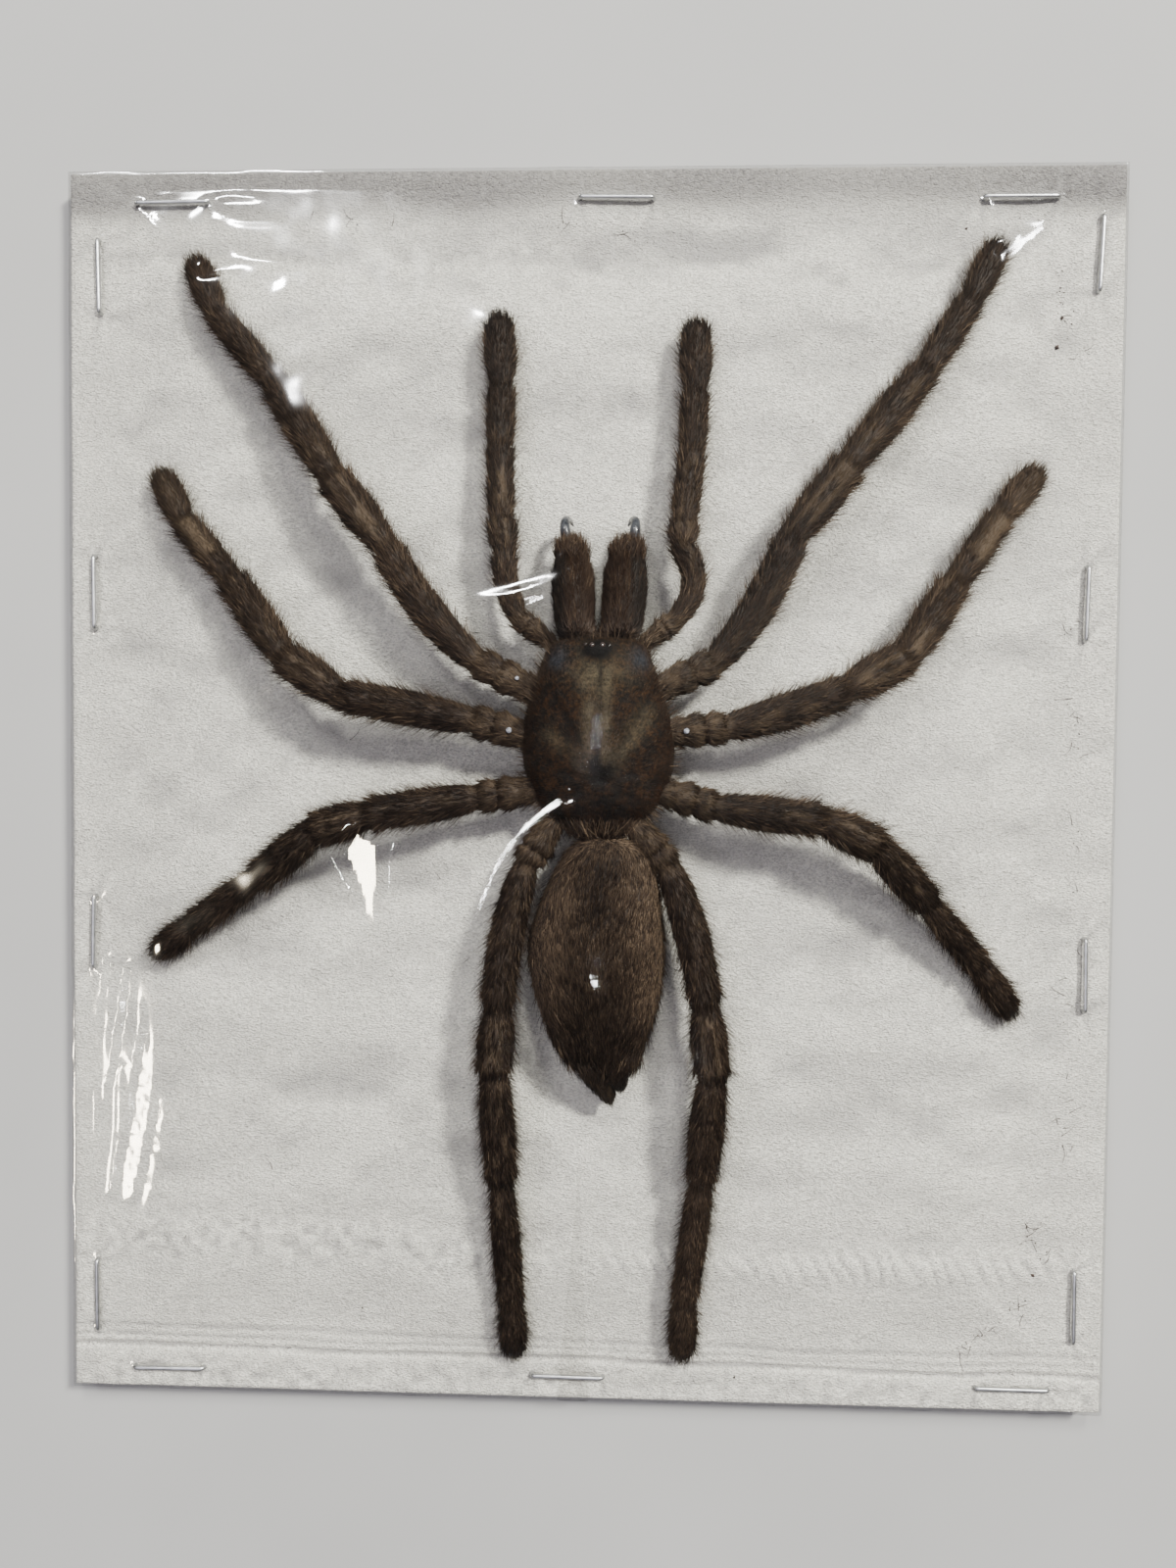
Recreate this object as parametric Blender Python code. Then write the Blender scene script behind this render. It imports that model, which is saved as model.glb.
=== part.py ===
"""A dried tarantula on a tissue-wrapped card, under clear film that 14 wire staples hold down.

The card lies on its back: +Z comes out of the specimen's side, +Y points where the spider's head
points, and the origin is the middle of the back. All lengths below are in millimetres.
"""

import math

import bmesh
import bpy
import numpy as np
from mathutils import Matrix, Vector
from mathutils.bvhtree import BVHTree

MM = 0.001
GAP = 0.3  # air between pieces that touch

# The wrapped card
WIDTH, HEIGHT = 127.0, 150.0  # outside the film
FILM, TISSUE, BOARD = 0.2, 0.4, 2.5  # thicknesses; the film's is drawn thicker than life
FLANGE = 9.0  # how far the film is turned under the back
RIM = 4.8  # the flat border that carries the staples
SLOPE_STRIP = 3.6  # the strip inside it where the film climbs
PAD_RISE = 1.6  # how far the tissue pad swells above its border
PAD_SLOPE = 14.0  # over what distance it does so

BOARD_BACK = FILM + GAP
BOARD_FRONT = BOARD_BACK + BOARD
TISSUE_BACK = BOARD_FRONT + GAP
TISSUE_RIM = TISSUE_BACK + TISSUE
FILM_RIM = TISSUE_RIM + GAP  # the film's inner face along the border
FILM_CELLS = (17, 20)  # across and along, inside the strips
TISSUE_CELLS = (11, 13)
FINE = 6  # film heights are first worked out this much finer than its cells
FILM_LIFT = 0.35  # the film's clearance over the specimen
FILM_PULLS = 900  # rounds of tightening
FACET_LIFTS = 12  # rounds of lifting the coarse facets clear

# Staples: the middle of each crown, and whether it runs up the card (else across)
CROWN, WIRE, CLINCH = 9.3, 0.5, 1.6
STAPLES = {
    "staple_top_left": (-50.6, 71.0, False),
    "staple_top_middle": (3.2, 71.2, False),
    "staple_top_right": (50.9, 70.9, False),
    "staple_right_1": (60.3, 64.3, True),
    "staple_right_2": (59.5, 23.2, True),
    "staple_right_3": (60.2, -21.2, True),
    "staple_right_4": (59.7, -61.6, True),
    "staple_bottom_right": (52.5, -71.8, False),
    "staple_bottom_middle": (-1.5, -71.8, False),
    "staple_bottom_left": (-51.2, -72.1, False),
    "staple_left_4": (-60.2, -63.1, True),
    "staple_left_3": (-60.5, -17.6, True),
    "staple_left_2": (-60.3, 24.1, True),
    "staple_left_1": (-59.6, 62.3, True),
}

# Limbs, from the body to the tip: (across, along, height above the pad) of every joint,
# then how far the femur bows outwards
LEGS = {
    "leg_1_left": ([(-7.0, 12.6, 4.6), (-12.3, 15.4, 5.2), (-22.7, 28.4, 6.8), (-29.1, 36.5, 6.6),
                    (-36.6, 48.0, 3.6), (-43.9, 56.4, 2.3), (-46.9, 63.0, 1.8)], 0.9),
    "leg_2_left": ([(-7.9, 7.2, 4.6), (-12.7, 8.6, 5.0), (-28.0, 11.4, 6.8), (-34.6, 15.8, 6.4),
                    (-41.8, 25.2, 3.8), (-48.1, 32.2, 2.3), (-51.1, 37.8, 1.8)], 0.0),
    "leg_3_left": ([(-7.1, 0.4, 4.6), (-12.1, -0.3, 5.0), (-24.9, -2.4, 6.8), (-31.0, -4.3, 6.4),
                    (-38.6, -10.3, 4.0), (-46.9, -16.1, 2.3), (-51.6, -19.6, 1.8)], 0.0),
    "leg_4_left": ([(-4.4, -4.8, 4.8), (-6.4, -7.9, 5.2), (-9.5, -24.6, 7.0), (-9.9, -32.1, 6.8),
                    (-9.2, -46.0, 4.4), (-8.2, -61.6, 2.3), (-8.0, -68.2, 1.6)], 0.6),
    "leg_1_right": ([(9.9, 13.0, 4.6), (15.0, 15.4, 5.2), (23.6, 29.7, 6.8), (30.0, 37.9, 6.6),
                     (39.0, 49.3, 3.6), (44.3, 57.6, 2.3), (47.7, 64.4, 1.8)], 0.9),
    "leg_2_right": ([(11.3, 7.5, 4.6), (16.5, 8.0, 5.0), (29.9, 12.4, 6.8), (36.6, 16.1, 6.4),
                     (42.8, 25.0, 3.8), (48.4, 33.0, 2.3), (52.6, 38.2, 1.8)], 0.3),
    "leg_3_right": ([(10.4, 0.2, 4.6), (15.4, -1.2, 5.0), (27.5, -2.5, 6.8), (33.8, -5.4, 6.4),
                     (40.2, -12.2, 4.0), (46.7, -19.6, 2.3), (50.7, -25.2, 1.8)], 0.0),
    "leg_4_right": ([(7.3, -4.8, 4.8), (9.9, -7.9, 5.2), (14.4, -23.9, 7.0), (15.3, -32.2, 6.8),
                     (14.3, -45.3, 4.4), (12.6, -60.8, 2.3), (12.5, -68.0, 1.6)], 0.6),
}
LEG_GIRTH = [  # each segment's radius at its near end, its middle and its far end, fur included
    (1.7, 2.05, 1.8),  # coxa and trochanter
    (1.75, 2.1, 1.85),  # femur
    (1.75, 2.2, 1.95),  # patella
    (1.8, 2.1, 1.75),  # tibia
    (1.5, 1.7, 1.5),  # metatarsus
    (1.45, 1.75, 1.5),  # tarsus
]
PALPS = {
    "pedipalp_left": ([(-5.2, 18.7, 4.6), (-7.5, 20.4, 5.0), (-9.2, 28.0, 5.2), (-9.7, 31.9, 5.0),
                       (-10.0, 40.5, 4.0), (-10.0, 47.7, 2.8), (-10.4, 55.7, 2.4)], 0.6),
    "pedipalp_right": ([(8.4, 18.8, 4.6), (10.3, 20.2, 5.0), (11.2, 28.7, 5.2), (11.4, 31.7, 5.0),
                        (12.3, 39.8, 4.0), (12.6, 47.0, 2.8), (12.7, 54.8, 2.4)], 1.8),
}
PALP_GIRTH = [
    (1.1, 1.4, 1.3),  # coxa
    (1.3, 1.4, 1.4),  # femur
    (1.5, 1.7, 1.6),  # patella
    (1.6, 1.6, 1.5),  # tibia, near half
    (1.6, 1.7, 1.5),  # tibia, far half
    (1.5, 1.95, 1.7),  # tarsus
]
FLATNESS = 0.92  # a limb's height against its width
LIMB_SIDES = 8
RING_PLACES = (0.04, 0.5, 0.96)  # where along a segment its rings stand
TARSUS_PLACES = (0.04, 0.5, 0.86)
TIP_RADIUS = 0.8

# Bodies, station by station down the spider:
# (along, middle, half width, underside, widest level, top), levels above the pad
CEPHALOTHORAX = [
    (18.3, 1.6, 3.2, 3.6, 6.0, 8.2),
    (17.3, 1.6, 5.5, 2.4, 5.4, 9.9),
    (14.8, 1.6, 6.7, 1.5, 4.8, 10.9),
    (11.4, 1.6, 7.9, 1.1, 4.6, 10.8),
    (7.2, 1.7, 8.9, 1.0, 4.5, 10.1),
    (3.6, 1.8, 8.8, 1.0, 4.5, 9.3),
    (1.4, 1.9, 8.2, 1.1, 4.4, 8.7),
    (-0.8, 1.9, 7.2, 1.4, 4.4, 8.1),
    (-2.8, 1.9, 5.2, 2.0, 4.5, 7.0),
    (-4.1, 1.9, 2.6, 3.0, 4.6, 5.9),
]
ABDOMEN = [
    (-4.8, 2.5, 1.1, 3.4, 4.6, 5.8),
    (-6.4, 2.9, 3.4, 2.2, 4.9, 8.2),
    (-9.9, 2.6, 5.5, 1.3, 5.0, 9.9),
    (-13.4, 2.1, 7.0, 0.9, 5.0, 11.0),
    (-17.4, 1.8, 8.0, 0.7, 5.0, 11.5),
    (-21.4, 1.9, 7.9, 0.7, 5.0, 11.2),
    (-25.4, 2.1, 7.0, 0.9, 4.9, 10.2),
    (-28.6, 2.2, 5.9, 1.2, 4.7, 8.8),
    (-31.2, 2.5, 4.5, 1.8, 4.5, 7.3),
    (-32.8, 2.9, 2.6, 2.6, 4.4, 6.0),
]
BODY_SIDES = 14
BODY_FULLNESS = 0.85  # under 1 the flanks bulge past an ellipse
CHELICERAE = {  # (along, middle, half width, underside, widest level, top)
    "chelicera_left": [
        (19.0, -0.7, 1.9, 2.6, 5.2, 8.2),
        (20.2, -1.1, 2.5, 2.0, 5.0, 9.2),
        (23.0, -1.3, 2.6, 1.8, 4.8, 9.2),
        (26.0, -1.4, 2.5, 1.9, 4.7, 8.5),
        (28.2, -1.5, 2.0, 2.4, 4.6, 7.3),
        (29.2, -1.6, 1.1, 3.3, 4.6, 6.0),
    ],
    "chelicera_right": [
        (19.0, 4.2, 1.9, 2.6, 5.2, 8.2),
        (20.2, 4.5, 2.6, 2.0, 5.0, 9.2),
        (23.0, 4.7, 2.7, 1.8, 4.8, 9.2),
        (26.0, 4.8, 2.6, 1.9, 4.7, 8.5),
        (28.2, 4.9, 2.1, 2.4, 4.6, 7.3),
        (29.2, 5.1, 1.1, 3.3, 4.6, 6.0),
    ],
}
CHELICERA_SIDES = 10
FANGS = {  # (across, along, height above the pad, radius)
    "fang_left": [(-2.1, 29.7, 4.7, 0.65), (-2.3, 30.8, 4.7, 0.62), (-2.3, 31.9, 4.1, 0.5),
                  (-1.9, 32.2, 3.0, 0.32), (-1.5, 31.7, 2.1, 0.12)],
    "fang_right": [(5.7, 29.7, 4.7, 0.65), (5.8, 30.8, 4.7, 0.62), (5.8, 31.9, 4.1, 0.5),
                   (5.4, 32.2, 3.0, 0.32), (5.0, 31.7, 2.1, 0.12)],
}
SPINNERETS = {
    "spinneret_left": [(1.5, -33.6, 4.2, 0.9), (2.2, -34.7, 3.9, 1.0), (3.0, -35.8, 3.5, 0.7),
                       (3.5, -36.5, 3.2, 0.25)],
    "spinneret_right": [(4.9, -33.4, 4.4, 0.9), (5.0, -34.3, 4.1, 1.0), (4.6, -35.4, 3.7, 0.7),
                        (4.4, -36.2, 3.4, 0.25)],
}
SMALL_SIDES = 6

# Colours (linear red, green, blue), roughness and metallic value
FINISHES = {
    "grey_card": ((0.42, 0.36, 0.28), 0.9, 0.0),
    "white_tissue": ((0.78, 0.76, 0.72), 0.85, 0.0),
    "clear_film": ((0.95, 0.96, 0.97), 0.08, 0.0),
    "staple_wire": ((0.62, 0.62, 0.64), 0.32, 1.0),
    "brown_carapace": ((0.085, 0.055, 0.032), 0.6, 0.0),
    "brown_fur": ((0.055, 0.035, 0.024), 0.8, 0.0),
    "black_fang": ((0.012, 0.012, 0.014), 0.2, 0.0),
}


def finish(name):
    """The material of this name, made once."""
    made = bpy.data.materials.get(name)
    if made:
        return made
    colour, roughness, metallic = FINISHES[name]
    made = bpy.data.materials.new(name)
    made.use_nodes = True
    shader = made.node_tree.nodes["Principled BSDF"]
    shader.inputs["Base Color"].default_value = (*colour, 1.0)
    shader.inputs["Roughness"].default_value = roughness
    shader.inputs["Metallic"].default_value = metallic
    return made


def add_piece(name, bm, material, smooth=False):
    """Turns a bmesh in millimetres into a named object."""
    bmesh.ops.recalc_face_normals(bm, faces=bm.faces[:])
    bmesh.ops.scale(bm, vec=(MM, MM, MM), verts=bm.verts[:])
    mesh = bpy.data.meshes.new(name)
    bm.to_mesh(mesh)
    bm.free()
    mesh.materials.append(finish(material))
    if smooth:
        mesh.shade_smooth()
        mesh.set_sharp_from_angle(angle=math.radians(50))
    piece = bpy.data.objects.new(name, mesh)
    bpy.context.collection.objects.link(piece)
    return piece


def pad_top(x, y):
    """How high the tissue pad is: flat along the border, then a soft swell."""
    inside = np.minimum(WIDTH / 2 - np.abs(x), HEIGHT / 2 - np.abs(y))
    t = np.clip((inside - RIM) / PAD_SLOPE, 0, 1)
    return TISSUE_RIM + PAD_RISE * t * t * (3 - 2 * t)


def bridge(bm, first, second):
    """Quads between two closed rings of vertices."""
    count = len(first)
    for i in range(count):
        j = (i + 1) % count
        bm.faces.new((first[i], first[j], second[j], second[i]))


def skin(bm, rings):
    """A closed skin over the rings, capped at both ends."""
    for first, second in zip(rings, rings[1:]):
        bridge(bm, first, second)
    bm.faces.new(rings[0][::-1])
    bm.faces.new(rings[-1])


# ---------------------------------------------------------------- the spider


def ring_across(bm, centre, ahead, radius, flatness, sides):
    """A ring of vertices square to the direction ahead."""
    ahead = ahead.normalized()
    side = ahead.cross(Vector((0, 0, 1))).normalized()
    up = side.cross(ahead)
    ring = []
    for i in range(sides):
        angle = 2 * math.pi * (i + 0.5) / sides
        ring.append(bm.verts.new(
            centre + side * radius * math.cos(angle) + up * radius * flatness * math.sin(angle)))
    return ring


def above_pad(x, y, height):
    return Vector((x, y, float(pad_top(x, y)) + height))


def add_limb(name, joints, bow, girths):
    """A jointed limb: three rings to a segment, close together and pinched at every joint."""
    points = [above_pad(*joint) for joint in joints]
    outwards = Vector((-1 if name.endswith("left") else 1, 0, 0))
    bm = bmesh.new()
    rings = []
    for index, (start, end) in enumerate(zip(points, points[1:])):
        ahead = end - start
        sideways = Vector((-ahead.y, ahead.x, 0)).normalized()
        if sideways.dot(outwards) < 0:
            sideways.negate()
        last = index == len(girths) - 1
        for t, radius in zip(TARSUS_PLACES if last else RING_PLACES, girths[index]):
            bowed = sideways * (4 * t * (1 - t) * bow if index == 1 else 0)
            slope = sideways * (4 * (1 - 2 * t) * bow if index == 1 else 0)
            rings.append(ring_across(bm, start + ahead * t + bowed, ahead + slope, radius,
                                     FLATNESS, LIMB_SIDES))
    rings.append(ring_across(bm, points[-1], points[-1] - points[-2], TIP_RADIUS, FLATNESS,
                             LIMB_SIDES))
    skin(bm, rings)
    return add_piece(name, bm, "brown_fur", smooth=True)


def add_body(name, stations, sides, material):
    """A body lofted through rings that stand across the spider's length."""
    bm = bmesh.new()
    rings = []
    for y, middle, half_width, low, level, high in stations:
        ring = []
        for i in range(sides):
            angle = 2 * math.pi * (i + 0.5) / sides
            rise = high - level if math.sin(angle) > 0 else level - low
            across = math.copysign(abs(math.cos(angle)) ** BODY_FULLNESS, math.cos(angle))
            ring.append(bm.verts.new(
                above_pad(middle + half_width * across, y, level + rise * math.sin(angle))))
        rings.append(ring)
    skin(bm, rings)
    return add_piece(name, bm, material, smooth=True)


def add_cone(name, stations, material):
    """A small curved cone, such as a fang."""
    points = [above_pad(*station[:3]) for station in stations]
    bm = bmesh.new()
    rings = []
    for i, point in enumerate(points):
        ahead = points[min(i + 1, len(points) - 1)] - points[max(i - 1, 0)]
        rings.append(ring_across(bm, point, ahead, stations[i][3], 1, SMALL_SIDES))
    skin(bm, rings)
    return add_piece(name, bm, material, smooth=True)


def add_spider():
    spider = [
        add_body("cephalothorax", CEPHALOTHORAX, BODY_SIDES, "brown_carapace"),
        add_body("abdomen", ABDOMEN, BODY_SIDES, "brown_fur"),
    ]
    for name, stations in CHELICERAE.items():
        spider.append(add_body(name, stations, CHELICERA_SIDES, "brown_fur"))
    for name, (joints, bow) in LEGS.items():
        spider.append(add_limb(name, joints, bow, LEG_GIRTH))
    for name, (joints, bow) in PALPS.items():
        spider.append(add_limb(name, joints, bow, PALP_GIRTH))
    for name, stations in FANGS.items():
        spider.append(add_cone(name, stations, "black_fang"))
    for name, stations in SPINNERETS.items():
        spider.append(add_cone(name, stations, "brown_fur"))
    return spider


# ------------------------------------------------------- the film's own shape


def inner_lines(size, cells):
    """Grid lines inside the border: a strip at either side, then even cells."""
    edge = size / 2 - RIM
    return np.concatenate(
        [[-edge], np.linspace(SLOPE_STRIP - edge, edge - SLOPE_STRIP, cells + 1), [edge]])


def highest_points(pieces, xs, ys):
    """The specimen's height in millimetres over each grid point, and the pad's where it is bare."""
    trees = []
    for piece in pieces:
        bm = bmesh.new()
        bm.from_mesh(piece.data)
        trees.append(BVHTree.FromBMesh(bm))
        bm.free()
    heights = pad_top(xs[:, None], ys[None, :])
    for i, x in enumerate(xs):
        for j, y in enumerate(ys):
            eye = Vector((x * MM, y * MM, 1.0))
            for tree in trees:
                hit = tree.ray_cast(eye, Vector((0, 0, -1)))[0]
                if hit:
                    heights[i, j] = max(heights[i, j], hit.z / MM)
    return heights


def spread(heights):
    """Each point takes the highest value among itself and its eight neighbours."""
    padded = np.pad(heights, 1, mode="edge")
    rows, columns = heights.shape
    return np.max([padded[i:i + rows, j:j + columns] for i in range(3) for j in range(3)], axis=0)


def stretch_over(floor):
    """A skin pulled tight from the border, resting on the floor wherever it is pushed up."""
    height = np.maximum(floor, FILM_RIM)
    for _ in range(FILM_PULLS):
        pulled = (height[2:, 1:-1] + height[:-2, 1:-1] + height[1:-1, 2:] + height[1:-1, :-2]) / 4
        height[1:-1, 1:-1] = np.maximum(floor[1:-1, 1:-1], pulled)
        height[0, :] = height[-1, :] = height[:, 0] = height[:, -1] = FILM_RIM
    return height


def cell_heights(corners, s, t):
    """Heights inside one cell, folded along whichever diagonal stands higher."""
    a, b, c, d = corners  # (0, 0), (1, 0), (1, 1), (0, 1)
    if a + c >= b + d:
        return np.where(s >= t, a + s * (b - a) + t * (c - b), a + t * (d - a) + s * (c - d))
    return np.where(s + t <= 1, a + s * (b - a) + t * (d - a),
                    c + (1 - s) * (d - c) + (1 - t) * (b - c))


def corner_heights(nodes, i, j):
    return nodes[i, j], nodes[i + 1, j], nodes[i + 1, j + 1], nodes[i, j + 1]


def divided(lines):
    """The lines, with FINE even steps between each two."""
    steps = [np.linspace(a, b, FINE, endpoint=False) for a, b in zip(lines, lines[1:])]
    return np.concatenate(steps + [lines[-1:]])


def film_heights(spider):
    """The film's inner face at its coarse grid's corners, lifted until every facet clears."""
    xs = divided(inner_lines(WIDTH, FILM_CELLS[0]))
    ys = divided(inner_lines(HEIGHT, FILM_CELLS[1]))
    floor = spread(highest_points(spider, xs, ys)) + FILM_LIFT
    floor[0, :] = floor[-1, :] = floor[:, 0] = floor[:, -1] = 0
    nodes = stretch_over(floor)[::FINE, ::FINE].copy()
    columns, rows = nodes.shape[0] - 1, nodes.shape[1] - 1
    s, t = np.meshgrid(np.linspace(0, 1, FINE + 1), np.linspace(0, 1, FINE + 1), indexing="ij")
    for _ in range(FACET_LIFTS):
        lifts = np.zeros_like(nodes)
        for i in range(columns):
            for j in range(rows):
                wanted = floor[i * FINE:(i + 1) * FINE + 1, j * FINE:(j + 1) * FINE + 1]
                short = (wanted - cell_heights(corner_heights(nodes, i, j), s, t)).max()
                block = lifts[i:i + 2, j:j + 2]
                np.maximum(block, short, out=block)
        lifts[0, :] = lifts[-1, :] = lifts[:, 0] = lifts[:, -1] = 0
        nodes += lifts
    return nodes


# ------------------------------------------------------- card, tissue and film


def grid_lines(size, cells, inset):
    """Grid lines across a whole sheet whose edge lies this far inside the outside size."""
    half = size / 2 - inset
    return np.concatenate([[-half], inner_lines(size, cells), [half]])


def add_face_grid(bm, xs, ys, heights):
    """A triangulated height field. It returns the vertices round its edge, in order."""
    rows = [[bm.verts.new((x, y, heights[i, j])) for j, y in enumerate(ys)]
            for i, x in enumerate(xs)]
    for i in range(len(xs) - 1):
        for j in range(len(ys) - 1):
            a, b = rows[i][j], rows[i + 1][j]
            c, d = rows[i + 1][j + 1], rows[i][j + 1]
            if a.co.z + c.co.z >= b.co.z + d.co.z:
                bm.faces.new((a, b, c))
                bm.faces.new((a, c, d))
            else:
                bm.faces.new((a, b, d))
                bm.faces.new((b, c, d))
    last = len(ys) - 1
    return ([row[0] for row in rows] + rows[-1][1:] + [row[last] for row in rows[-2::-1]]
            + rows[0][-2:0:-1])


def line_ring(bm, ring, half_x, half_y, z):
    """Joins the ring to a copy of it, fitted to a rectangle of this half size at height z."""
    wide = max(v.co.x for v in ring)
    high = max(v.co.y for v in ring)
    copy = [bm.verts.new((v.co.x * half_x / wide, v.co.y * half_y / high, z)) for v in ring]
    bridge(bm, ring, copy)
    return copy


def join_flat_faces(bm):
    """Merges the triangles that lie in one plane, as down the sides."""
    bmesh.ops.dissolve_limit(bm, angle_limit=math.radians(0.05), verts=bm.verts[:],
                             edges=bm.edges[:])


def add_film(spider):
    """The clear cover: tented over the spider, down the sides and turned under the back."""
    nodes = film_heights(spider)
    bm = bmesh.new()
    half_width, half_height = WIDTH / 2, HEIGHT / 2
    columns, rows = FILM_CELLS
    heights = np.pad(nodes, 1, constant_values=FILM_RIM)
    ring = add_face_grid(bm, grid_lines(WIDTH, columns, 0), grid_lines(HEIGHT, rows, 0),
                         heights + FILM)
    for inset, z in ((0, 0), (FLANGE, 0), (FLANGE, FILM), (FILM, FILM)):
        ring = line_ring(bm, ring, half_width - inset, half_height - inset, z)
    inner = add_face_grid(bm, grid_lines(WIDTH, columns, FILM), grid_lines(HEIGHT, rows, FILM),
                          heights)
    bridge(bm, ring, inner)
    join_flat_faces(bm)
    return add_piece("film_cover", bm, "clear_film")


def add_tissue():
    """Folded tissue: a soft pad on the card's face, with its edges down the sides."""
    outside = FILM + GAP
    half_width, half_height = WIDTH / 2, HEIGHT / 2
    columns, rows = TISSUE_CELLS
    xs, ys = grid_lines(WIDTH, columns, outside), grid_lines(HEIGHT, rows, outside)
    bm = bmesh.new()
    ring = add_face_grid(bm, xs, ys, pad_top(xs[:, None], ys[None, :]))
    for inset, z in ((outside, BOARD_BACK), (outside + TISSUE, BOARD_BACK),
                     (outside + TISSUE, TISSUE_BACK)):
        ring = line_ring(bm, ring, half_width - inset, half_height - inset, z)
    bm.faces.new(ring)
    join_flat_faces(bm)
    return add_piece("tissue_wrap", bm, "white_tissue")


def add_board():
    inset = FILM + GAP + TISSUE + GAP
    bm = bmesh.new()
    bmesh.ops.create_cube(bm, size=1.0)
    bmesh.ops.scale(bm, vec=(WIDTH - 2 * inset, HEIGHT - 2 * inset, BOARD), verts=bm.verts[:])
    bmesh.ops.translate(bm, vec=(0, 0, (BOARD_BACK + BOARD_FRONT) / 2), verts=bm.verts[:])
    return add_piece("backing_board", bm, "grey_card")


# ------------------------------------------------------------------- staples


def staple_frame(x, y, upright):
    """A staple's own axes at its crown: along the crown, across it, and up."""
    turn = Matrix.Rotation(math.radians(90), 4, "Z") if upright else Matrix.Identity(4)
    return Matrix.Translation((x, y, 0)) @ turn


def add_staple(name, x, y, upright):
    """Square wire bent into a staple, its ends folded inwards and pressed into the back."""
    top = FILM_RIM + FILM + GAP + WIRE
    low = WIRE / 5
    out, into, end = CROWN / 2, CROWN / 2 - WIRE, CROWN / 2 - WIRE - CLINCH
    half = [(out, top), (out, low), (end, low), (end, low + WIRE), (into, low + WIRE),
            (into, top - WIRE)]
    outline = half + [(-u, z) for u, z in reversed(half)]
    bm = bmesh.new()
    face = bm.faces.new([bm.verts.new((u, -WIRE / 2, z)) for u, z in outline])
    grown = bmesh.ops.extrude_face_region(bm, geom=[face])["geom"]
    moved = [v for v in grown if isinstance(v, bmesh.types.BMVert)]
    bmesh.ops.translate(bm, vec=(0, WIRE, 0), verts=moved)
    bmesh.ops.transform(bm, matrix=staple_frame(x, y, upright), verts=bm.verts[:])
    return add_piece(name, bm, "staple_wire")


def add_cutter(name, length, low, high):
    """One box round every staple leg, this long towards the middle of its crown."""
    hole = WIRE / 2 + GAP
    bm = bmesh.new()
    for x, y, upright in STAPLES.values():
        for side in (-1, 1):
            leg = side * (CROWN - WIRE) / 2
            made = bmesh.ops.create_cube(bm, size=1.0)["verts"]
            bmesh.ops.scale(bm, vec=(2 * hole + length, 2 * hole, high - low), verts=made)
            bmesh.ops.translate(bm, vec=(leg - side * length / 2, 0, (low + high) / 2), verts=made)
            bmesh.ops.transform(bm, matrix=staple_frame(x, y, upright), verts=made)
    cutter = add_piece(name, bm, "staple_wire")
    cutter.hide_render = True
    cutter.display_type = "WIRE"
    return cutter


def pierce(piece, cutter):
    cut = piece.modifiers.new(cutter.name, "BOOLEAN")
    cut.operation = "DIFFERENCE"
    cut.solver = "EXACT"
    cut.object = cutter


def main():
    for old in list(bpy.data.objects):
        bpy.data.objects.remove(old)
    spider = add_spider()
    film, tissue, board = add_film(spider), add_tissue(), add_board()
    for name, place in STAPLES.items():
        add_staple(name, *place)
    through = FILM_RIM + 2 * FILM
    leg_holes = add_cutter("cutter_leg_holes", 0.0, TISSUE_BACK - GAP / 2, through)
    clinch_slots = add_cutter("cutter_clinch_slots", CLINCH, -1.0, FILM + GAP / 2)
    board_slots = add_cutter("cutter_board_slots", CLINCH, FILM, TISSUE_BACK - GAP / 2)
    pierce(film, leg_holes)
    pierce(film, clinch_slots)
    pierce(tissue, leg_holes)
    pierce(board, board_slots)


main()
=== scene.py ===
"""A dried tarantula on a tissue-wrapped card under stapled clear film: its finished surfaces.

The frame holds the plain solids. Here each one gets its skin, fur, weave, creases and metal.
Lengths are in millimetres until a mesh is made. +Z comes out of the card, +Y is the spider's
head end, and the origin is the middle of the card's back.
"""

import functools
import math
from collections import namedtuple

import bmesh
import bpy
import numpy as np
from bpy.props import FloatProperty, FloatVectorProperty, PointerProperty
from mathutils import Matrix, Vector
from mathutils.bvhtree import BVHTree


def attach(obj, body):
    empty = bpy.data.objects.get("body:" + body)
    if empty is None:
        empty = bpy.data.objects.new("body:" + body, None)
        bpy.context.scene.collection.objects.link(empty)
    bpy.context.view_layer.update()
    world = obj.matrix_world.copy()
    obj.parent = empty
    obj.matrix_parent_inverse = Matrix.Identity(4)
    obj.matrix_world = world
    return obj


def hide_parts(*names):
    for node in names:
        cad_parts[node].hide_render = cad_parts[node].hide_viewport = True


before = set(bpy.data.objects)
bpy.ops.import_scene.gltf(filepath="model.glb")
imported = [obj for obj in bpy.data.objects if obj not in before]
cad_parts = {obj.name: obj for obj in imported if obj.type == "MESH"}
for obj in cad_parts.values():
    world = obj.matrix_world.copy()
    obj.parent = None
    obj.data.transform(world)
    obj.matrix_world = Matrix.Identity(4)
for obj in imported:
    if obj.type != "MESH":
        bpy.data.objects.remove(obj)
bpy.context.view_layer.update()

bl_info = {
    "name": "Mounted Tarantula Specimen",
    "version": (1, 0, 0),
    "blender": (4, 5, 0),
    "location": "3D View > Sidebar > Specimen",
    "description": "Builds the finished surfaces of a tarantula mounted on a wrapped card",
    "category": "Object",
}

MM = 0.001

# The wrapped card
WIDTH, HEIGHT = 127.0, 150.0
RIM = 4.8  # the flat border that carries the staples
PAD_RISE, PAD_SLOPE = 1.6, 14.0  # the tissue pad's swell, and over what distance it comes
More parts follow.
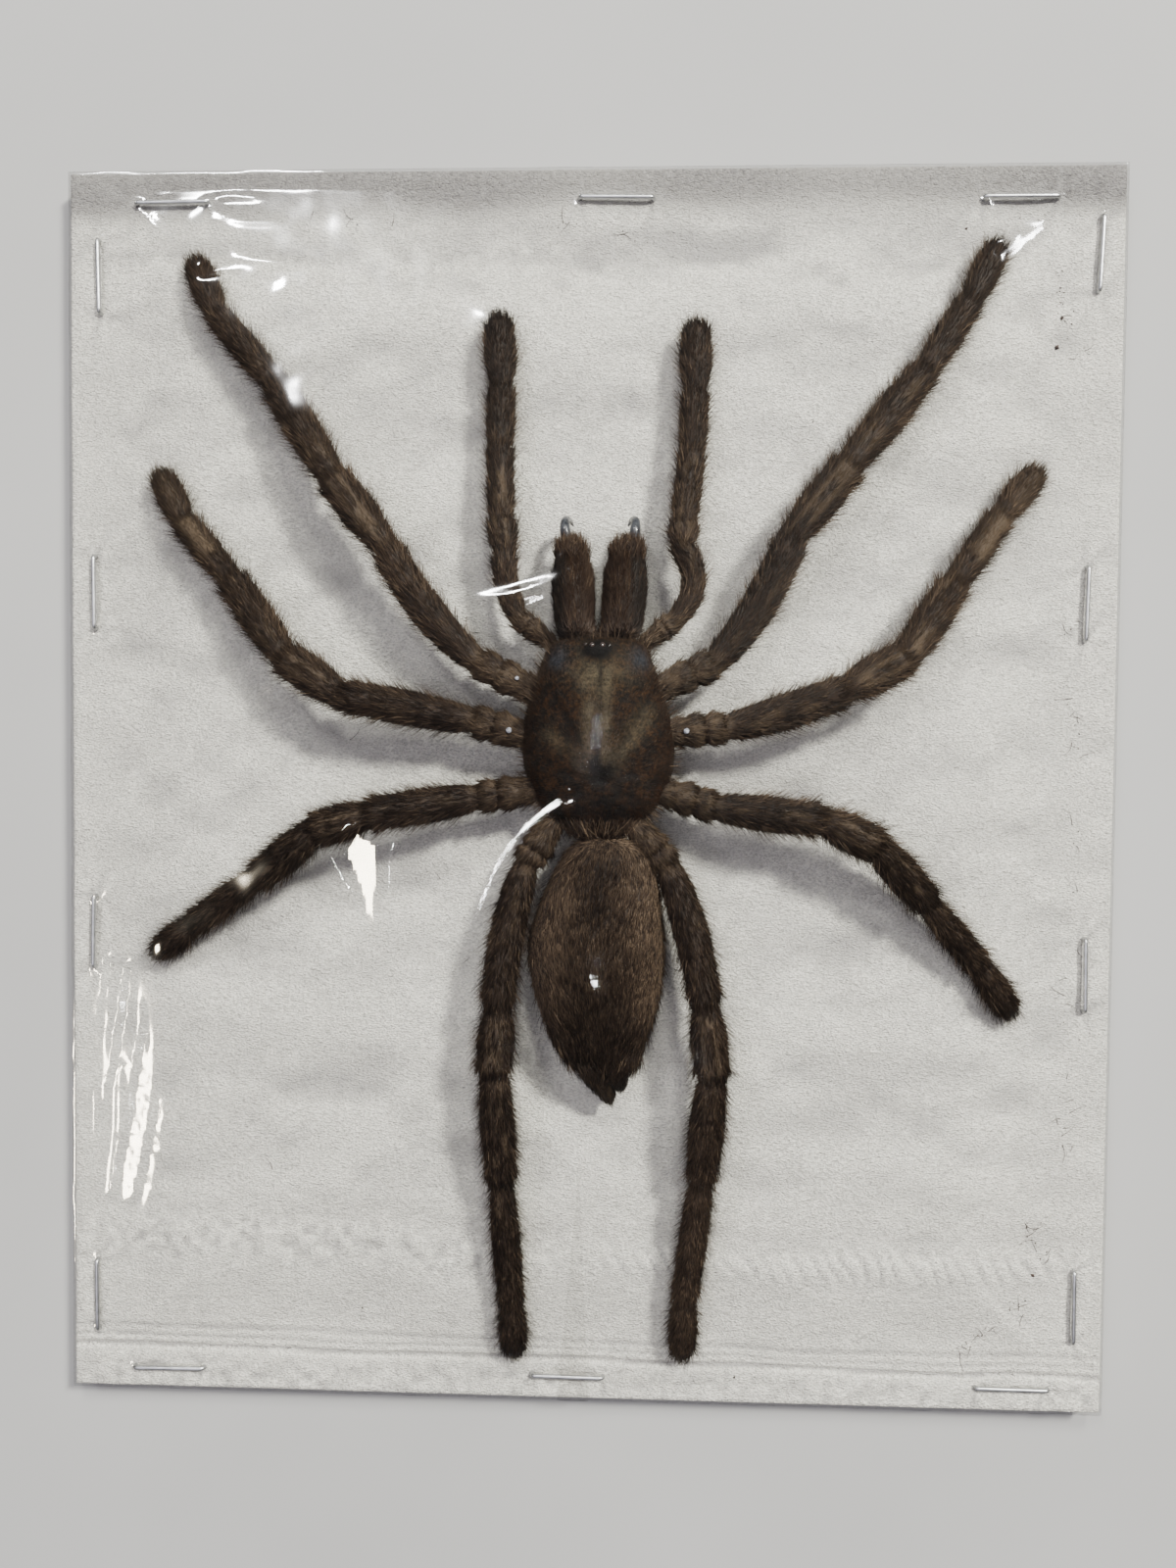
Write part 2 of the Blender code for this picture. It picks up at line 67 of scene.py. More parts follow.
# Levels: the board's back, the tissue's inner face, and the tissue and the film at the rim
BOARD_BACK, TISSUE_BACK, TISSUE_RIM, FILM_RIM = 0.5, 3.3, 3.7, 4.15
TISSUE_INSET, TISSUE_THICKNESS = 0.15, 0.4  # the inset is from the card's edge
FLANGE = 9.0  # how far the film is turned under the back
FILM_LIFT, FILM_OVER_PAD = 0.35, 0.3  # the film's clearance over the spider and over the pad

# Staples: the middle of each crown, whether it runs up the card, and its turn in degrees
CROWN, WIRE_RADIUS, CLINCH = 9.3, 0.27, 1.6  # the clinch is how far an end is bent in
CROWN_HEIGHT, CLINCH_HEIGHT, WIRE_BEND, WIRE_SIDES = 4.52, 0.36, 0.42, 12
STAPLES = {
    "staple_top_left": (-50.6, 71.0, False, 0.5),
    "staple_top_middle": (3.2, 71.2, False, -0.8),
    "staple_top_right": (50.9, 70.9, False, 0.0),
    "staple_right_1": (60.3, 64.3, True, -2.2),
    "staple_right_2": (59.5, 23.2, True, -1.0),
    "staple_right_3": (60.2, -21.2, True, 0.8),
    "staple_right_4": (59.7, -61.6, True, 0.3),
    "staple_bottom_right": (52.5, -71.8, False, -0.4),
    "staple_bottom_middle": (-1.5, -71.8, False, -0.6),
    "staple_bottom_left": (-51.2, -72.1, False, 0.6),
    "staple_left_4": (-60.2, -63.1, True, 0.5),
    "staple_left_3": (-60.5, -17.6, True, -0.7),
    "staple_left_2": (-60.3, 24.1, True, 0.6),
    "staple_left_1": (-59.6, 62.3, True, 1.2),
}

# Limbs, from the body to the tip: (across, along, height above the pad) of every joint,
# then how far the femur bows outwards
LEGS = {
    "leg_1_left": ([(-7.0, 12.6, 4.6), (-12.3, 15.4, 5.2), (-22.7, 28.4, 6.8), (-29.1, 36.5, 6.6),
                    (-36.6, 48.0, 3.6), (-43.9, 56.4, 2.3), (-46.9, 63.0, 1.8)], 0.9),
    "leg_2_left": ([(-7.9, 7.2, 4.6), (-12.7, 8.6, 5.0), (-28.0, 11.4, 6.8), (-34.6, 15.8, 6.4),
                    (-41.8, 25.2, 3.8), (-48.1, 32.2, 2.3), (-51.1, 37.8, 1.8)], 0.0),
    "leg_3_left": ([(-7.1, 0.4, 4.6), (-12.1, -0.3, 5.0), (-24.9, -2.4, 6.8), (-31.0, -4.3, 6.4),
                    (-38.6, -10.3, 4.0), (-46.9, -16.1, 2.3), (-51.6, -19.6, 1.8)], 0.0),
    "leg_4_left": ([(-4.4, -4.8, 4.8), (-6.4, -7.9, 5.2), (-9.5, -24.6, 7.0), (-9.9, -32.1, 6.8),
                    (-9.2, -46.0, 4.4), (-8.2, -61.6, 2.3), (-8.0, -68.2, 1.6)], 0.6),
    "leg_1_right": ([(9.9, 13.0, 4.6), (15.0, 15.4, 5.2), (23.6, 29.7, 6.8), (30.0, 37.9, 6.6),
                     (39.0, 49.3, 3.6), (44.3, 57.6, 2.3), (47.7, 64.4, 1.8)], 0.9),
    "leg_2_right": ([(11.3, 7.5, 4.6), (16.5, 8.0, 5.0), (29.9, 12.4, 6.8), (36.6, 16.1, 6.4),
                     (42.8, 25.0, 3.8), (48.4, 33.0, 2.3), (52.6, 38.2, 1.8)], 0.3),
    "leg_3_right": ([(10.4, 0.2, 4.6), (15.4, -1.2, 5.0), (27.5, -2.5, 6.8), (33.8, -5.4, 6.4),
                     (40.2, -12.2, 4.0), (46.7, -19.6, 2.3), (50.7, -25.2, 1.8)], 0.0),
    "leg_4_right": ([(7.3, -4.8, 4.8), (9.9, -7.9, 5.2), (14.4, -23.9, 7.0), (15.3, -32.2, 6.8),
                     (14.3, -45.3, 4.4), (12.6, -60.8, 2.3), (12.5, -68.0, 1.6)], 0.6),
}
LEG_GIRTH = [  # each segment's radius at its near end, its middle and its far end, fur included
    (1.7, 2.05, 1.8),  # coxa and trochanter
    (1.75, 2.1, 1.85),  # femur
    (1.75, 2.2, 1.95),  # patella
    (1.8, 2.1, 1.75),  # tibia
    (1.5, 1.7, 1.5),  # metatarsus
    (1.45, 1.75, 1.5),  # tarsus
]
PALPS = {
    "pedipalp_left": ([(-5.2, 18.7, 4.6), (-7.5, 20.4, 5.0), (-9.2, 28.0, 5.2), (-9.7, 31.9, 5.0),
                       (-10.0, 40.5, 4.0), (-10.0, 47.7, 2.8), (-10.4, 55.7, 2.4)], 0.6),
    "pedipalp_right": ([(8.4, 18.8, 4.6), (10.3, 20.2, 5.0), (11.2, 28.7, 5.2), (11.4, 31.7, 5.0),
                        (12.3, 39.8, 4.0), (12.6, 47.0, 2.8), (12.7, 54.8, 2.4)], 1.8),
}
PALP_GIRTH = [
    (1.1, 1.4, 1.3),  # coxa
    (1.3, 1.4, 1.4),  # femur
    (1.5, 1.7, 1.6),  # patella
    (1.6, 1.6, 1.5),  # tibia, near half
    (1.6, 1.7, 1.5),  # tibia, far half
    (1.5, 1.95, 1.7),  # tarsus
]
FLATNESS = 0.92  # a limb's height against its width
PATELLA, TIBIA, METATARSUS, TARSUS = 2, 3, 4, 5  # segments by number; coxa 0 and femur 1

# Bodies, station by station:
# (along, middle, half width, underside, widest level, top), levels above the pad
CEPHALOTHORAX = [
    (18.3, 1.6, 3.2, 3.6, 6.0, 8.2),
    (17.3, 1.6, 5.5, 2.4, 5.4, 9.9),
    (14.8, 1.6, 6.7, 1.5, 4.8, 10.9),
    (11.4, 1.6, 7.9, 1.1, 4.6, 10.8),
    (7.2, 1.7, 8.9, 1.0, 4.5, 10.1),
    (3.6, 1.8, 8.8, 1.0, 4.5, 9.3),
    (1.4, 1.9, 8.2, 1.1, 4.4, 8.7),
    (-0.8, 1.9, 7.2, 1.4, 4.4, 8.1),
    (-2.8, 1.9, 5.2, 2.0, 4.5, 7.0),
    (-4.1, 1.9, 2.6, 3.0, 4.6, 5.9),
]
ABDOMEN = [
    (-4.8, 2.5, 1.1, 3.4, 4.6, 5.8),
    (-6.4, 2.9, 3.4, 2.2, 4.9, 8.2),
    (-9.9, 2.6, 5.5, 1.3, 5.0, 9.9),
    (-13.4, 2.1, 7.0, 0.9, 5.0, 11.0),
    (-17.4, 1.8, 8.0, 0.7, 5.0, 11.5),
    (-21.4, 1.9, 7.9, 0.7, 5.0, 11.2),
    (-25.4, 2.1, 7.0, 0.9, 4.9, 10.2),
    (-28.6, 2.2, 5.9, 1.2, 4.7, 8.8),
    (-31.2, 2.5, 4.5, 1.8, 4.5, 7.3),
    (-32.8, 2.9, 2.6, 2.6, 4.4, 6.0),
]
JAWS = [  # (along, underside, widest level, top), then (middle, half width) left and right
    (19.0, 2.6, 5.2, 8.2, (-0.7, 1.9), (4.2, 1.9)),
    (20.2, 2.0, 5.0, 9.2, (-1.1, 2.5), (4.5, 2.6)),
    (23.0, 1.8, 4.8, 9.2, (-1.3, 2.6), (4.7, 2.7)),
    (26.0, 1.9, 4.7, 8.5, (-1.4, 2.5), (4.8, 2.6)),
    (28.2, 2.4, 4.6, 7.3, (-1.5, 2.0), (4.9, 2.1)),
    (29.2, 3.3, 4.6, 6.0, (-1.6, 1.1), (5.1, 1.1)),
]
CHELICERAE = {
    "chelicera_left": [(y, *left, *levels) for y, *levels, left, right in JAWS],
    "chelicera_right": [(y, *right, *levels) for y, *levels, left, right in JAWS],
}
JAW_TRIM = (0, 0, 0, 0.15, 0.1)  # how much slimmer than its solid a jaw is, after its root
BODY_FULLNESS = 0.85  # under 1 the flanks bulge past an ellipse
FANGS = {  # (across, along, height above the pad, radius)
    "fang_left": [(-2.1, 29.7, 4.7, 0.65), (-2.3, 30.8, 4.7, 0.62), (-2.3, 31.9, 4.1, 0.5),
                  (-1.9, 32.2, 3.0, 0.32), (-1.5, 31.7, 2.1, 0.12)],
    "fang_right": [(5.7, 29.7, 4.7, 0.65), (5.8, 30.8, 4.7, 0.62), (5.8, 31.9, 4.1, 0.5),
                   (5.4, 32.2, 3.0, 0.32), (5.0, 31.7, 2.1, 0.12)],
}
FULLER_FRONT = [0.9, 1.5, 1.1, 0.5, 0.2, 0, 0, 0, 0, -0.4]  # the abdomen's fur past its solid
LOBES = {  # the spinnerets' dried shapes, broader and more pointed than their solids
    "spinneret_left": [(1.6, -31.0, 4.4, 2.1), (2.1, -32.8, 4.1, 1.8), (2.8, -34.3, 3.8, 1.3),
                       (3.3, -35.7, 3.4, 0.8), (3.6, -36.6, 3.1, 0.2)],
    "spinneret_right": [(3.4, -31.0, 4.8, 1.8), (3.9, -32.3, 4.6, 1.5), (4.4, -33.3, 4.2, 1.1),
                        (4.6, -34.2, 3.8, 0.7), (4.7, -34.9, 3.3, 0.15)],
}
TAIL_TUFTS = [(0.4, -31.6), (6.0, -30.4)]  # where longer hairs stand at the abdomen's rear
SPIDER_NODES = ["cephalothorax", "abdomen", *CHELICERAE, *LEGS, *PALPS, *FANGS, *LOBES]

# Seeds of the random draws. Where like pieces share one, each adds its own number to it
SEEDS = {"carapace": 11, "abdomen": 12, "spinnerets": 15, "jaws": 21, "legs": 31, "palps": 51,
         "crumbs": 77, "tissue": 200, "film": 300}
# How many hairs each piece has: short ones, then longer ones
CARAPACE_HAIRS, FRINGE_HAIRS, MARGIN_HAIRS = 11000, 520, 1300
ABDOMEN_HAIRS, ABDOMEN_BRISTLES = 21000, 1600
JAW_HAIRS, JAW_BRISTLES, SPINNERET_HAIRS = 4200, 900, 900
LEG_HAIRS, LEG_BRISTLES = 10500, 700
PALP_HAIRS, PALP_BRISTLES = 5600, 250

# The carapace's features
FOVEA = (2.15, 1.9)  # the pit towards the rear from which the grooves run
EYE_MOUND = (1.75, 16.7)
EYES = [  # (across, along, radius)
    (1.15, 16.95, 0.36), (2.3, 16.95, 0.36), (0.4, 17.05, 0.26), (3.1, 16.95, 0.26),
    (0.45, 16.4, 0.26), (3.1, 16.35, 0.26), (0.85, 16.15, 0.18), (2.7, 16.1, 0.18),
]
# Pearly skin at three coxae, its pale colour a painted highlight: (across, along, radius)
GLINT_MEMBRANES = [(-8.5, 7.5, 0.36), (11.9, 7.6, 0.36), (-7.6, 13.5, 0.26)]
GROOVE_ANGLES = (52, 80, 118)  # degrees from straight ahead, on either side
NECK_CORNERS = ((-3.7, 12.5), (8.3, 12.5))  # where the head's edge grooves meet the flanks


# ---------------- what a user changes


class SpecimenSizes(bpy.types.PropertyGroup):
    """Lengths that shape the fur, the tissue and the film."""

    hair_length: FloatProperty(
        name="Hair Length", description="Length of the short fur on the legs",
        default=0.00125, min=0.0002, max=0.004, precision=5, unit="LENGTH")
    hair_width: FloatProperty(
        name="Hair Width", description="Thickness of one hair at its root",
        default=0.00009, min=0.00002, max=0.0004, precision=6, unit="LENGTH")
    bristle_length: FloatProperty(
        name="Bristle Length", description="Length of the long thin hairs beside the legs",
        default=0.0026, min=0.0005, max=0.006, precision=5, unit="LENGTH")
    crumple: FloatProperty(
        name="Tissue Crumple", description="Height of the tissue's soft lumps and crimps",
        default=0.00022, min=0.0, max=0.0003, precision=5, unit="LENGTH")
    crease: FloatProperty(
        name="Film Crease", description="Height of the sharpest creases in the film",
        default=0.00035, min=0.0, max=0.0006, precision=5, unit="LENGTH")


class SpecimenColours(bpy.types.PropertyGroup):
    """Colours of the spider, the card and what wraps it."""

    fur_dark: FloatVectorProperty(
        name="Dark Fur", description="The darkest hairs", subtype="COLOR",
        default=(0.009, 0.006, 0.0045), min=0.0, max=1.0)
    fur_brown: FloatVectorProperty(
        name="Brown Fur", description="Most of the hairs", subtype="COLOR",
        default=(0.036, 0.022, 0.0135), min=0.0, max=1.0)
    fur_pale: FloatVectorProperty(
        name="Pale Fur", description="The palest hairs", subtype="COLOR",
        default=(0.17, 0.118, 0.075), min=0.0, max=1.0)
    bald_tan: FloatVectorProperty(
        name="Bald Patches", description="Rubbed tan skin of the legs", subtype="COLOR",
        default=(0.13, 0.092, 0.056), min=0.0, max=1.0)
    tissue: FloatVectorProperty(
        name="Tissue", description="The paper that wraps the card", subtype="COLOR",
        default=(0.915, 0.895, 0.81), min=0.0, max=1.0)
    card: FloatVectorProperty(
        name="Card", description="The board seen from behind", subtype="COLOR",
        default=(0.36, 0.29, 0.2), min=0.0, max=1.0)
    steel: FloatVectorProperty(
        name="Staple Wire", description="The staples' metal", subtype="COLOR",
        default=(0.55, 0.56, 0.57), min=0.0, max=1.0)


def sizes():
    return bpy.context.scene.specimen_sizes


def colours():
    return bpy.context.scene.specimen_colours


# ---------------- materials


EVEN = (1, 1, 1)  # object coordinates that aren't stretched


class Finish:
    """A material under construction, with short ways to add its nodes."""

    def __init__(self, name):
        self.material = bpy.data.materials.new(name)
        self.material.use_nodes = True
        self.tree = self.material.node_tree
        self.shader = self.tree.nodes["Principled BSDF"]

    def node(self, kind, **settings):
        made = self.tree.nodes.new("ShaderNode" + kind)
        for name, value in settings.items():
            setattr(made, name, value)
        return made

    def join(self, source, target):
        self.tree.links.new(source, target)

    def place(self, stretch):
        """Object coordinates in millimetres, stretched."""
        where = self.node("TexCoord").outputs["Object"]
        scaled = self.node("Mapping")
        scaled.inputs["Scale"].default_value = [s / MM for s in stretch]
        self.join(where, scaled.inputs["Vector"])
        return scaled.outputs["Vector"]

    def painted(self, name):
        return self.node("Attribute", attribute_name=name).outputs["Fac"]

    def give(self, socket, value):
        """Joins a socket to another, or sets it to a plain number or colour."""
        if isinstance(value, bpy.types.NodeSocket):
            self.join(value, socket)
        else:
            socket.default_value = (*value, 1) if hasattr(value, "__len__") else value

    def noise(self, where, scale, detail=3.0, roughness=0.55, distortion=0.0):
        """Soft random values, 0 to 1. where is a socket, or how object coordinates stretch."""
        if isinstance(where, tuple):
            where = self.place(where)
        made = self.node("TexNoise")
        self.join(where, made.inputs["Vector"])
        made.inputs["Scale"].default_value = scale
        made.inputs["Detail"].default_value = detail
        made.inputs["Roughness"].default_value = roughness
        made.inputs["Distortion"].default_value = distortion
        return made.outputs["Fac"]

    def ramp(self, source, *stops):
        """Colours or greys by place: each stop is (place, grey) or (place, colour)."""
        made = self.node("ValToRGB")
        elements = made.color_ramp.elements
        while len(elements) < len(stops):
            elements.new(0.5)
        for element, (place, value) in zip(elements, stops):
            element.position = place
            grey = isinstance(value, (int, float))
            element.color = (value, value, value, 1) if grey else (*value, 1)
        self.join(source, made.inputs["Fac"])
        return made.outputs["Color"]

    def mix(self, share, first, second):
        """Mixes two colours, each a socket or a plain one. The share is a socket or a number."""
        made = self.node("Mix", data_type="RGBA")
        self.give(made.inputs[0], share)
        self.give(made.inputs[6], first)
        self.give(made.inputs[7], second)
        return made.outputs[2]

    def maths(self, kind, *values):
        made = self.node("Math", operation=kind)
        for socket, value in zip(made.inputs, values):
            self.give(socket, value)
        return made.outputs[0]

    def bump(self, height, depth, strength=1.0, under=None):
        """A normal from a height between 0 and 1 that is this many millimetres deep."""
        made = self.node("Bump")
        made.inputs["Strength"].default_value = strength
        made.inputs["Distance"].default_value = depth * MM
        self.join(height, made.inputs["Height"])
        if under:
            self.join(under, made.inputs["Normal"])
        return made.outputs["Normal"]

    def set(self, **values):
        """Sets the shader's own sockets. Underscores stand for spaces."""
        for name, value in values.items():
            self.give(self.shader.inputs[name.replace("_", " ")], value)
        return self.material


def times(colour, factor):
    """A colour made darker or lighter."""
    return tuple(factor * part for part in colour)


@functools.cache
def fur_finish():
    """Single hairs: dark to pale by their painted tone, tan where rubbed."""
    shade = colours()
    finish = Finish("spider_hair")
    tone = finish.painted("tone")
    hue = finish.ramp(tone, (0.0, shade.fur_dark), (0.5, shade.fur_brown), (1.0, shade.fur_pale))
    rubbed = finish.mix(finish.painted("tan"), hue, shade.bald_tan)
    rusty = finish.mix(finish.painted("rust"), rubbed, (0.036, 0.016, 0.008))
    return finish.set(Base_Color=rusty, Roughness=finish.ramp(tone, (0.0, 0.45), (1.0, 0.65)),
                      Specular_IOR_Level=0.22)


@functools.cache
def skin_finish():
    """The skin under the fur: streaked along each limb, tan on the rubbed patches."""
    shade = colours()
    finish = Finish("spider_skin")
    where = finish.node("CombineXYZ")
    finish.join(finish.maths("MULTIPLY", finish.painted("along"), 0.9), where.inputs[0])
    finish.join(finish.maths("MULTIPLY", finish.painted("around"), 9.0), where.inputs[1])
    streaks = finish.noise(where.outputs[0], 1.0, detail=4.0, roughness=0.65)
    patches = finish.noise(EVEN, 0.9, detail=3.0)
    brown = finish.ramp(streaks, (0.3, times(shade.fur_dark, 0.5)),
                        (0.72, times(shade.fur_brown, 0.8)))
    mottled = finish.mix(finish.ramp(patches, (0.35, 0.0), (0.75, 0.45)), brown,
                         times(shade.fur_brown, 1.2))
    dimmed = finish.mix(finish.ramp(finish.painted("tone"), (0.1, 0.85), (0.5, 0.0)), mottled,
                        times(shade.fur_dark, 0.6))
    bald = finish.mix(streaks, times(shade.bald_tan, 0.55), shade.bald_tan)
    rubbed = finish.mix(finish.painted("tan"), dimmed, bald)
    normal = finish.bump(streaks, 0.12, 0.8)
    return finish.set(Base_Color=rubbed, Roughness=finish.ramp(patches, (0.3, 0.5), (0.7, 0.75)),
                      Specular_IOR_Level=0.22, Normal=normal)


@functools.cache
def carapace_finish():
    """Leathery shield: rusty brown, with pale olive bands, dark pits, painted shade down its right
    side and blue-grey corners.
    """
    finish = Finish("carapace_leather")
    where = finish.place(EVEN)
    grain = finish.noise(where, 2.6, detail=5.0, roughness=0.75)
    patches = finish.noise(where, 0.9, detail=4.0, roughness=0.65)

    def grained(low, high):
        """Two colours that take turns with the leather's grain."""
        return finish.ramp(grain, (0.4, low), (0.62, high))

    dark = grained((0.002, 0.0015, 0.0015), (0.015, 0.01, 0.007))
    rusty = grained((0.005, 0.0025, 0.0015), (0.036, 0.017, 0.007))
    base = finish.mix(finish.ramp(patches, (0.44, 0.0), (0.56, 1.0)), dark, rusty)
    olive = finish.ramp(grain, (0.36, (0.026, 0.021, 0.013)), (0.66, (0.1, 0.081, 0.05)))
    striped = finish.mix(finish.painted("tan"), base, olive)
    rim = grained((0.008, 0.003, 0.0015), (0.05, 0.02, 0.008))
    rimmed = finish.mix(finish.painted("margin"), striped, rim)
    cool = grained((0.012, 0.013, 0.016), (0.04, 0.044, 0.053))
    cornered = finish.mix(finish.painted("cool"), rimmed, cool)
    # dark pits and marks, and the painted shade of the right side
    darkened_and_shaded = finish.mix(finish.painted("groove"), cornered, (0.002, 0.0016, 0.0016))
    normal = finish.bump(grain, 0.14, 1.0)
    return finish.set(Base_Color=darkened_and_shaded, Roughness=finish.ramp(grain, (0.3, 0.55), (0.7, 0.8)),
                      Specular_IOR_Level=0.12, Normal=normal)


def cloudy_finish(name, where, scale, hues, roughness, **settings):
    """A finish whose colour and gloss drift together."""
    finish = Finish(name)
    cloud = finish.noise(where, scale)
    return finish.set(Base_Color=finish.ramp(cloud, *hues),
                      Roughness=finish.ramp(cloud, *roughness), **settings)


@functools.cache
def eye_finish():
    """Dark glossy lenses."""
    return cloudy_finish("eye_lens", EVEN, 3.0,
                         [(0.35, (0.01, 0.008, 0.008)), (0.7, (0.05, 0.035, 0.03))],
                         [(0.3, 0.08), (0.8, 0.18)], Coat_Weight=0.6)


@functools.cache
def membrane_glint_finish():
    """The bluish skin that shows between the carapace and a leg, its pearly paleness a painted
    highlight.
    """
    return cloudy_finish("joint_membrane_painted_glint", EVEN, 2.5,
                         [(0.35, (0.05, 0.05, 0.06)), (0.65, (0.5, 0.52, 0.58))],
                         [(0.3, 0.15), (0.8, 0.35)], Coat_Weight=0.5)


@functools.cache
def fang_finish():
    """Blue-black horn, greyer towards the point."""
    finish = Finish("fang_horn")
    cloud = finish.noise((1, 0.35, 1), 1.8, detail=4.0)
    horn = finish.ramp(cloud, (0.3, (0.012, 0.014, 0.018)), (0.75, (0.06, 0.065, 0.075)))
    hue = finish.mix(finish.painted("tan"), horn, (0.2, 0.2, 0.2))
    return finish.set(Base_Color=hue, Roughness=finish.ramp(cloud, (0.3, 0.22), (0.8, 0.4)),
                      Normal=finish.bump(cloud, 0.05, 0.6), Coat_Weight=0.3)


@functools.cache
def tissue_finish():
    """White crepe tissue: a fine crosswise grain, broad mottles of painted soft shade, and painted
    shade in its creases and along its top edge.
    """
    finish = Finish("crepe_tissue")
    grain = finish.noise((3.4, 5.5, 2.0), 1.0, detail=2.0, roughness=0.6, distortion=0.4)
    weave = finish.noise((1.3, 2.1, 1.0), 1.0, detail=3.0, roughness=0.65)
    patches = finish.noise((0.07, 0.13, 0.1), 1.0, detail=5.0, roughness=0.6)
    paper = colours().tissue
    # painted shade: broad soft mottles darken the paper in patches
    mottled = finish.mix(finish.ramp(patches, (0.38, 0.0), (0.66, 1.0)), paper,
                         times(paper, 0.92))
    # painted shade: a darker band along the card's top edge
    edge_shaded = finish.mix(finish.painted("greyed"), mottled, (0.1, 0.093, 0.098))
    # painted shade: the tissue's creases and hollows are painted darker
    base = finish.mix(finish.ramp(finish.painted("hollow"), (0.35, 0.0), (1.0, 0.9)), edge_shaded,
                      (0.36, 0.35, 0.34))
    shaded = finish.mix(finish.ramp(weave, (0.34, 0.32), (0.6, 0.0)), base, (0.5, 0.49, 0.47))
    speckled = finish.mix(finish.ramp(grain, (0.36, 0.62), (0.58, 0.0)), shaded,
                          (0.33, 0.32, 0.29))
    crinkle = finish.bump(weave, 0.3, 1.0)
    normal = finish.bump(grain, 0.32, 1.0, under=crinkle)
    return finish.set(Base_Color=speckled, Roughness=finish.ramp(grain, (0.3, 0.78), (0.7, 0.95)),
                      Specular_IOR_Level=0.2, Normal=normal)


FILM_GLOSS, FILM_SLANT_GLOSS = 0.08, 0.8  # what the film mirrors face on, and more at a slant


@functools.cache
def film_finish():
    """Thin clear film: see-through but for its gloss, a little greyer where it is pleated, with
    painted shade along the pleat's folds.
    """
    finish = Finish("clear_film")
    tree = finish.tree
    pleat = finish.painted("pleat")
    # painted shade: the pleat is greyer, most along its two folds
    tint = finish.mix(pleat, (0.985, 0.985, 0.982), (0.8, 0.8, 0.79))
    clear = finish.node("BsdfTransparent")
    finish.join(tint, clear.inputs["Color"])
    gloss = finish.node("BsdfGlossy")
    haze = finish.noise(EVEN, 0.35, detail=0.0)
    finish.join(finish.ramp(haze, (0.3, 0.07), (0.75, 0.13)), gloss.inputs["Roughness"])
    ripple = finish.noise((1.0, 0.6, 1.0), 0.7, detail=0.0)
    normal = finish.bump(ripple, 0.012, 0.5)
    finish.join(normal, gloss.inputs["Normal"])
    slant = finish.node("LayerWeight")
    finish.join(normal, slant.inputs["Normal"])
    steep = finish.maths("POWER", slant.outputs["Facing"], 4.0)
    both = finish.node("MixShader")
    finish.join(finish.maths("MULTIPLY_ADD", steep, FILM_SLANT_GLOSS, FILM_GLOSS), both.inputs[0])
    finish.join(clear.outputs[0], both.inputs[1])
    finish.join(gloss.outputs[0], both.inputs[2])
    tree.nodes.remove(finish.shader)
    finish.join(both.outputs[0], tree.nodes["Material Output"].inputs["Surface"])
    return finish.material


@functools.cache
def steel_finish():
    """Drawn wire with fine scratches and dull patches."""
    finish = Finish("staple_steel")
    scratches = finish.noise((3.0, 3.0, 9.0), 1.2, detail=5.0, roughness=0.7)
    patches = finish.noise(EVEN, 0.8, detail=2.0)
    steel = colours().steel
    hue = finish.mix(finish.ramp(patches, (0.35, 0.0), (0.7, 0.6)), steel, times(steel, 0.6))
    return finish.set(Base_Color=hue, Metallic=1.0,
                      Roughness=finish.ramp(scratches, (0.3, 0.32), (0.75, 0.5)),
                      Normal=finish.bump(scratches, 0.02, 0.6))


@functools.cache
def card_finish():
    """Pulp board: long and short fibres in mottled brown-grey."""
    finish = Finish("pulp_card")
    fibres = finish.noise((0.5, 3.5, 1.0), 1.0, detail=6.0, roughness=0.7, distortion=0.8)
    patches = finish.noise((0.05, 0.05, 0.05), 1.0, detail=4.0)
    card = colours().card
    mottled = finish.mix(finish.ramp(patches, (0.3, 0.0), (0.75, 0.7)), card, times(card, 0.75))
    hue = finish.mix(finish.ramp(fibres, (0.35, 0.35), (0.6, 0.0)), mottled, (0.12, 0.09, 0.06))
    flecked = finish.mix(finish.ramp(fibres, (0.66, 0.0), (0.75, 0.6)), hue, (0.6, 0.54, 0.44))
    return finish.set(Base_Color=flecked, Roughness=finish.ramp(fibres, (0.3, 0.82), (0.7, 0.96)),
                      Specular_IOR_Level=0.2, Normal=finish.bump(fibres, 0.12, 0.7))


@functools.cache
def crumb_finish():
    """Dull dark crumbs of skin and fur."""
    return cloudy_finish("dark_crumbs", EVEN, 2.0,
                         [(0.3, (0.012, 0.008, 0.007)), (0.7, (0.06, 0.03, 0.022))],
                         [(0.3, 0.5), (0.7, 0.8)])


@functools.cache
def floor_finish():
    """A plain pale floor."""
    return cloudy_finish("pale_floor", (0.02, 0.02, 0.02), 1.0,
                         [(0.3, (0.34, 0.34, 0.335)), (0.7, (0.37, 0.37, 0.365))],
                         [(0.3, 0.8), (0.7, 0.9)])


# ---------------- shape helpers


def soften(t):
    t = np.clip(t, 0, 1)
    return t * t * (3 - 2 * t)


def bell(distance, width):
    return np.exp(-((distance / width) ** 2))


def soft_noise(x, y, size, seed):
    """Smooth random values between -1 and 1, with lumps about this many millimetres wide."""
    lattice = np.random.default_rng(seed).uniform(-1, 1, (64, 64))
    u, v = np.asarray(x) / size + 32, np.asarray(y) / size + 32
    i, j = np.floor(u).astype(int), np.floor(v).astype(int)
    s, t = soften(u - i), soften(v - j)
    i, j, k, m = i % 64, j % 64, (i + 1) % 64, (j + 1) % 64
    return ((lattice[i, j] * (1 - s) + lattice[k, j] * s) * (1 - t)
            + (lattice[i, m] * (1 - s) + lattice[k, m] * s) * t)


